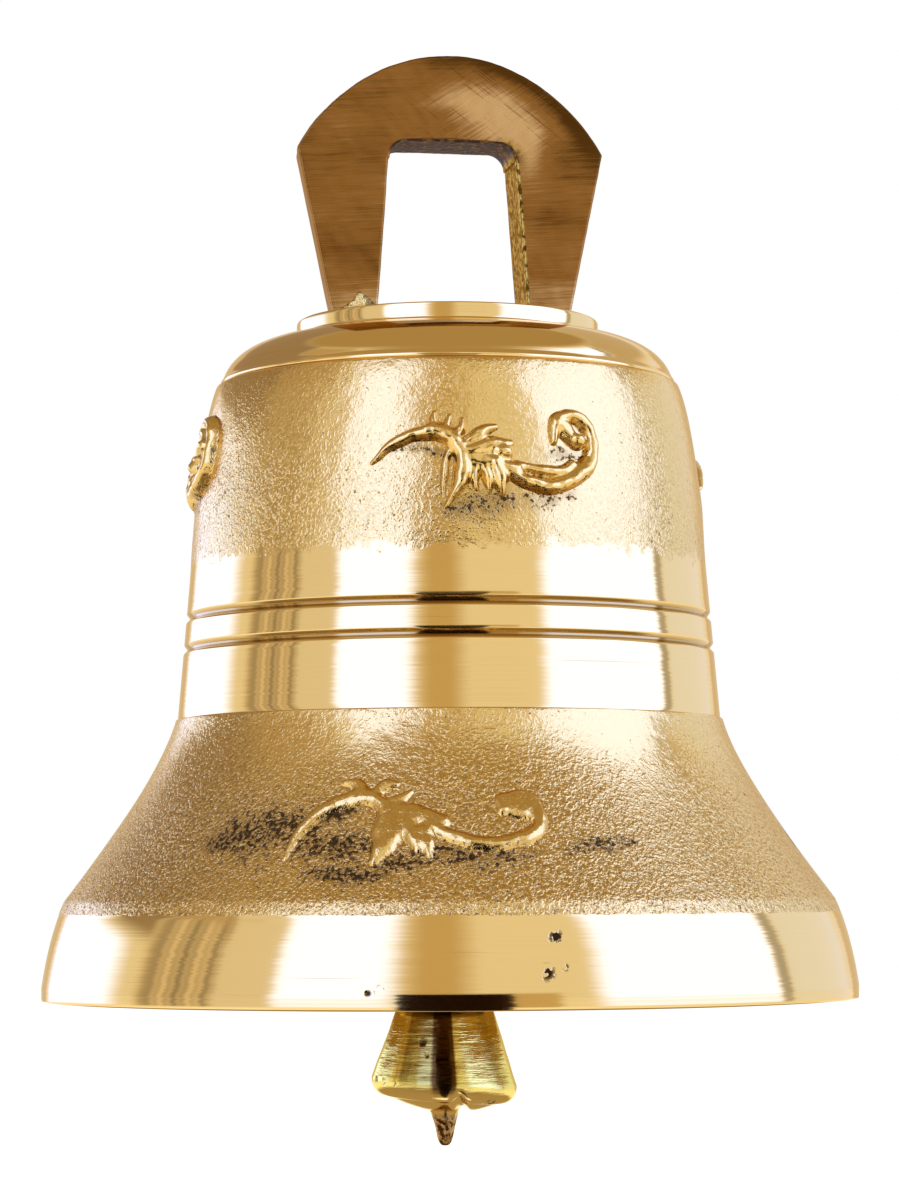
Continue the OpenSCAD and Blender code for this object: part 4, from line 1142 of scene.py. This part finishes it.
def card_mesh(name, azimuths, elevations, radius, tone, soft, stripes):
    """Patch of a sphere: middle + radius * direction, fading at soft borders, with stripes over azimuth."""
    across, rise = np.meshgrid(np.linspace(*azimuths, 181), np.linspace(*elevations, 61))
    grid = direction(across, rise) * radius + [0, 0, (SHELL_LOW.z + SHELL_HIGH.z) / 2 / MM]
    left, right, upright = soft
    cover = smooth(0, upright, rise - elevations[0])
    if left:
        cover = cover * smooth(0, left, across - azimuths[0]) * smooth(0, right, azimuths[1] - across)
    if elevations[1] < 90:
        cover = cover * smooth(0, upright, elevations[1] - rise)
    fine, wide = np.sin(across * FULL_TURN / 3.3), np.sin(across * FULL_TURN / 11.0)
    level = np.clip(1 + stripes * (fine * smooth(-92, -86, across) + 0.8 * wide), 0.05, None)
    glow = np.stack([level * part for part in tone] + [np.ones(level.shape)], -1).reshape(-1, 4)
    return build_mesh(name, grid.reshape(-1, 3), [grid_corners(*cover.shape)],
                      {"glow": glow, "cover": cover.ravel()}, closed=False)


def show_to_camera(m):
    """1 for rays that the camera, a gloss or a clear surface sends, 0 for the rest."""
    ray = m.add("ShaderNodeLightPath").outputs
    seen = m.math("MAXIMUM", ray["Is Camera Ray"], ray["Is Glossy Ray"])
    return m.math("MAXIMUM", seen, ray["Is Transmission Ray"])


def white_world(fill):
    """World that is plain white to the camera and to gloss, and a little lower as light."""
    world = bpy.data.worlds.new("studio_white")
    bpy.context.scene.world = world
    m = Recipe(world)
    level = m.add("ShaderNodeMapRange", {"Value": show_to_camera(m), "To Min": fill, "To Max": 1.0})
    back = m.add("ShaderNodeBackground", {"Color": (1, 1, 1, 1), "Strength": level.outputs[0]})
    m.add("ShaderNodeOutputWorld", {"Surface": back.outputs[0]})


def floor_material():
    """Pale matt floor that keeps a shadow and is lifted to white for the camera and for gloss."""
    m = Recipe(bpy.data.materials.new("pale_floor"))
    tone = m.blend(m.ramp(m.noise(m.place(), 3.0), 0.3, 0.7), (0.80, 0.80, 0.80), (0.82, 0.82, 0.815))
    matt = m.add("ShaderNodeBsdfDiffuse", {"Color": tone}).outputs[0]
    strength = m.times(show_to_camera(m), 0.45)
    lift = m.add("ShaderNodeEmission", {"Color": (1, 1, 1, 1), "Strength": strength}).outputs[0]
    return m.surface(m.add("ShaderNodeAddShader", {0: matt, 1: lift}))


def add_camera(studio):
    """Camera at the photograph's place: yaw, then pitch, then roll about its own line of sight."""
    data = bpy.data.cameras.new("photo_camera")
    data.lens = studio.lens
    data.sensor_width = 36.0
    data.clip_start, data.clip_end = 0.01, 50.0
    camera = add_object("photo_camera", data)
    turn = math.radians(CAMERA_AZIMUTH)
    place = (math.sin(turn) * studio.distance, -math.cos(turn) * studio.distance, studio.height + SHELL_LOW.z)
    facing = (Matrix.Rotation(turn - studio.yaw, 4, "Z") @ Matrix.Rotation(math.pi / 2 + studio.pitch, 4, "X")
              @ Matrix.Rotation(studio.roll, 4, "Z"))
    camera.matrix_world = Matrix.Translation(place) @ facing
    bpy.context.scene.camera = camera


def add_floor(studio):
    """Wide flat floor under the hanging bell."""
    reach, z = 6000.0, (HEAD_LOW.z - studio.floor_drop) / MM
    side = np.linspace(-reach, reach, 13)
    x, y = np.meshgrid(side, side)
    grid = np.stack([x, y, np.full(x.shape, z)], -1)
    mesh = build_mesh("floor", grid.reshape(-1, 3), [grid_corners(13, 13)], closed=False)
    add_object("floor", mesh, floor_material())


def add_cards(studio):
    """All cards and panels, seen only by gloss."""
    light = card_material()
    for settings in cards(studio.panel_light):
        mesh = card_mesh(*settings)
        card = add_object(mesh.name, mesh, light)
        for ray in ("camera", "diffuse", "shadow", "volume_scatter"):
            setattr(card, "visible_" + ray, False)


def add_key_light():
    """Large soft lamp over the left shoulder that gives the floor its shadow."""
    data = bpy.data.lights.new("key_light", "AREA")
    data.shape = "RECTANGLE"
    data.size, data.size_y, data.energy = 1.4, 1.0, 16.0
    lamp = add_object("key_light", data)
    lamp.matrix_world = (Matrix.Translation((-0.9, -0.8, 1.6)) @ Matrix.Rotation(math.radians(-45), 4, "Z")
                         @ Matrix.Rotation(math.radians(36), 4, "X"))
    lamp.visible_glossy = False


# Operators

class BELL_OT_stage(bpy.types.Operator):
    """Add the camera, the white surroundings, the floor, the lamp and the cards"""
    bl_idname = "bell.stage"
    bl_label = "Add Studio"

    def execute(self, context):
        studio = context.scene.bell_studio
        context.scene.view_settings.view_transform = "Standard"
        add_camera(studio)
        white_world(studio.fill)
        add_floor(studio)
        add_key_light()
        add_cards(studio)
        return {"FINISHED"}


class BELL_OT_shell(bpy.types.Operator):
    """Add the cast shell with its turned bands"""
    bl_idname = "bell.shell"
    bl_label = "Add Cast Shell"

    def execute(self, context):
        shape, relief = in_mm(context.scene.bell_shape), in_mm(context.scene.bell_relief)
        finish = context.scene.bell_finish
        metal = cast_brass("cast_brass", finish, finish.skin, shape)
        add_piece(shell_mesh(shape, relief), metal, "bell", "bell_shell")
        return {"FINISHED"}


class BELL_OT_scrolls(bpy.types.Operator):
    """Add the scrolls round the barrel and the waist"""
    bl_idname = "bell.scrolls"
    bl_label = "Add Scroll Relief"

    def execute(self, context):
        shape, relief = in_mm(context.scene.bell_shape), in_mm(context.scene.bell_relief)
        finish = context.scene.bell_finish
        metal = cast_brass("relief_brass", finish, finish.relief, shape)
        for site in scroll_sites():
            add_piece(scroll_mesh(*site, shape, relief), metal, "bell", "bell_shell")
        return {"FINISHED"}


class BELL_OT_loop(bpy.types.Operator):
    """Add the filed hanging bar and the filler metal at its feet"""
    bl_idname = "bell.loop"
    bl_label = "Add Hanging Loop"

    def execute(self, context):
        shape, finish = in_mm(context.scene.bell_loop), context.scene.bell_finish
        add_piece(loop_mesh(shape), filed_brass(finish), "bell", "hanger_loop")
        metal = braze_metal(finish)
        for word, side in (("left", -1), ("right", 1)):
            bead = braze_mesh(word + "_braze_bead", side, shape)
            add_piece(bead, metal, "bell", word + "_foot_braze")
        return {"FINISHED"}


class BELL_OT_clapper(bpy.types.Operator):
    """Add the clapper's cast head"""
    bl_idname = "bell.clapper"
    bl_label = "Add Clapper Head"

    def execute(self, context):
        head = in_mm(context.scene.bell_head)
        metal = clapper_brass(context.scene.bell_finish, head.middle)
        add_piece(head_mesh(head), metal, "clapper", "clapper_head")
        return {"FINISHED"}


class BELL_OT_links(bpy.types.Operator):
    """Finish the steel staple, nut, washer, ring and shank"""
    bl_idname = "bell.links"
    bl_label = "Finish Steel Links"

    def execute(self, context):
        metal = drawn_steel(context.scene.bell_finish)
        for node in ("clapper_staple", "staple_washer", "staple_lock_nut", "shackle_ring", "clapper_shank"):
            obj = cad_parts[node]
            for slot in obj.material_slots:
                slot.material = metal
            if not obj.material_slots:
                obj.data.materials.append(metal)
        return {"FINISHED"}


class BELL_PT_panel(bpy.types.Panel):
    """Sidebar panel with the sizes, colours and build steps"""
    bl_idname = "BELL_PT_panel"
    bl_label = "Cast Hanging Bell"
    bl_space_type = "VIEW_3D"
    bl_region_type = "UI"
    bl_category = "Bell"

    def draw(self, context):
        for label, group, operators in PANEL_ROWS:
            box = self.layout.box()
            box.label(text=label)
            settings = getattr(context.scene, group)
            for key in setting_names(settings):
                box.prop(settings, key)
            for operator in operators:
                box.operator(operator)


PANEL_ROWS = (
    ("Studio", "bell_studio", ("bell.stage",)),
    ("Casting", "bell_shape", ("bell.shell",)),
    ("Scrolls", "bell_relief", ("bell.scrolls",)),
    ("Hanging loop", "bell_loop", ("bell.loop",)),
    ("Clapper", "bell_head", ("bell.clapper",)),
    ("Metals", "bell_finish", ("bell.links",)),
)
GROUPS = {
    "bell_studio": StudioSet,
    "bell_shape": BellShape,
    "bell_relief": ReliefShape,
    "bell_loop": LoopShape,
    "bell_head": HeadShape,
    "bell_finish": BellFinish,
}
OPERATORS = (BELL_OT_stage, BELL_OT_shell, BELL_OT_scrolls, BELL_OT_loop, BELL_OT_clapper, BELL_OT_links)


def register():
    for group in GROUPS.values():
        bpy.utils.register_class(group)
    for operator in OPERATORS:
        bpy.utils.register_class(operator)
    bpy.utils.register_class(BELL_PT_panel)
    for key, group in GROUPS.items():
        setattr(bpy.types.Scene, key, PointerProperty(type=group))


def unregister():
    for key in GROUPS:
        delattr(bpy.types.Scene, key)
    bpy.utils.unregister_class(BELL_PT_panel)
    for operator in reversed(OPERATORS):
        bpy.utils.unregister_class(operator)
    for group in reversed(list(GROUPS.values())):
        bpy.utils.unregister_class(group)


def main():
    register()
    bpy.ops.bell.stage()
    bpy.ops.bell.shell()
    bpy.ops.bell.scrolls()
    bpy.ops.bell.loop()
    bpy.ops.bell.clapper()
    bpy.ops.bell.links()


if __name__ == "__main__":
    main()
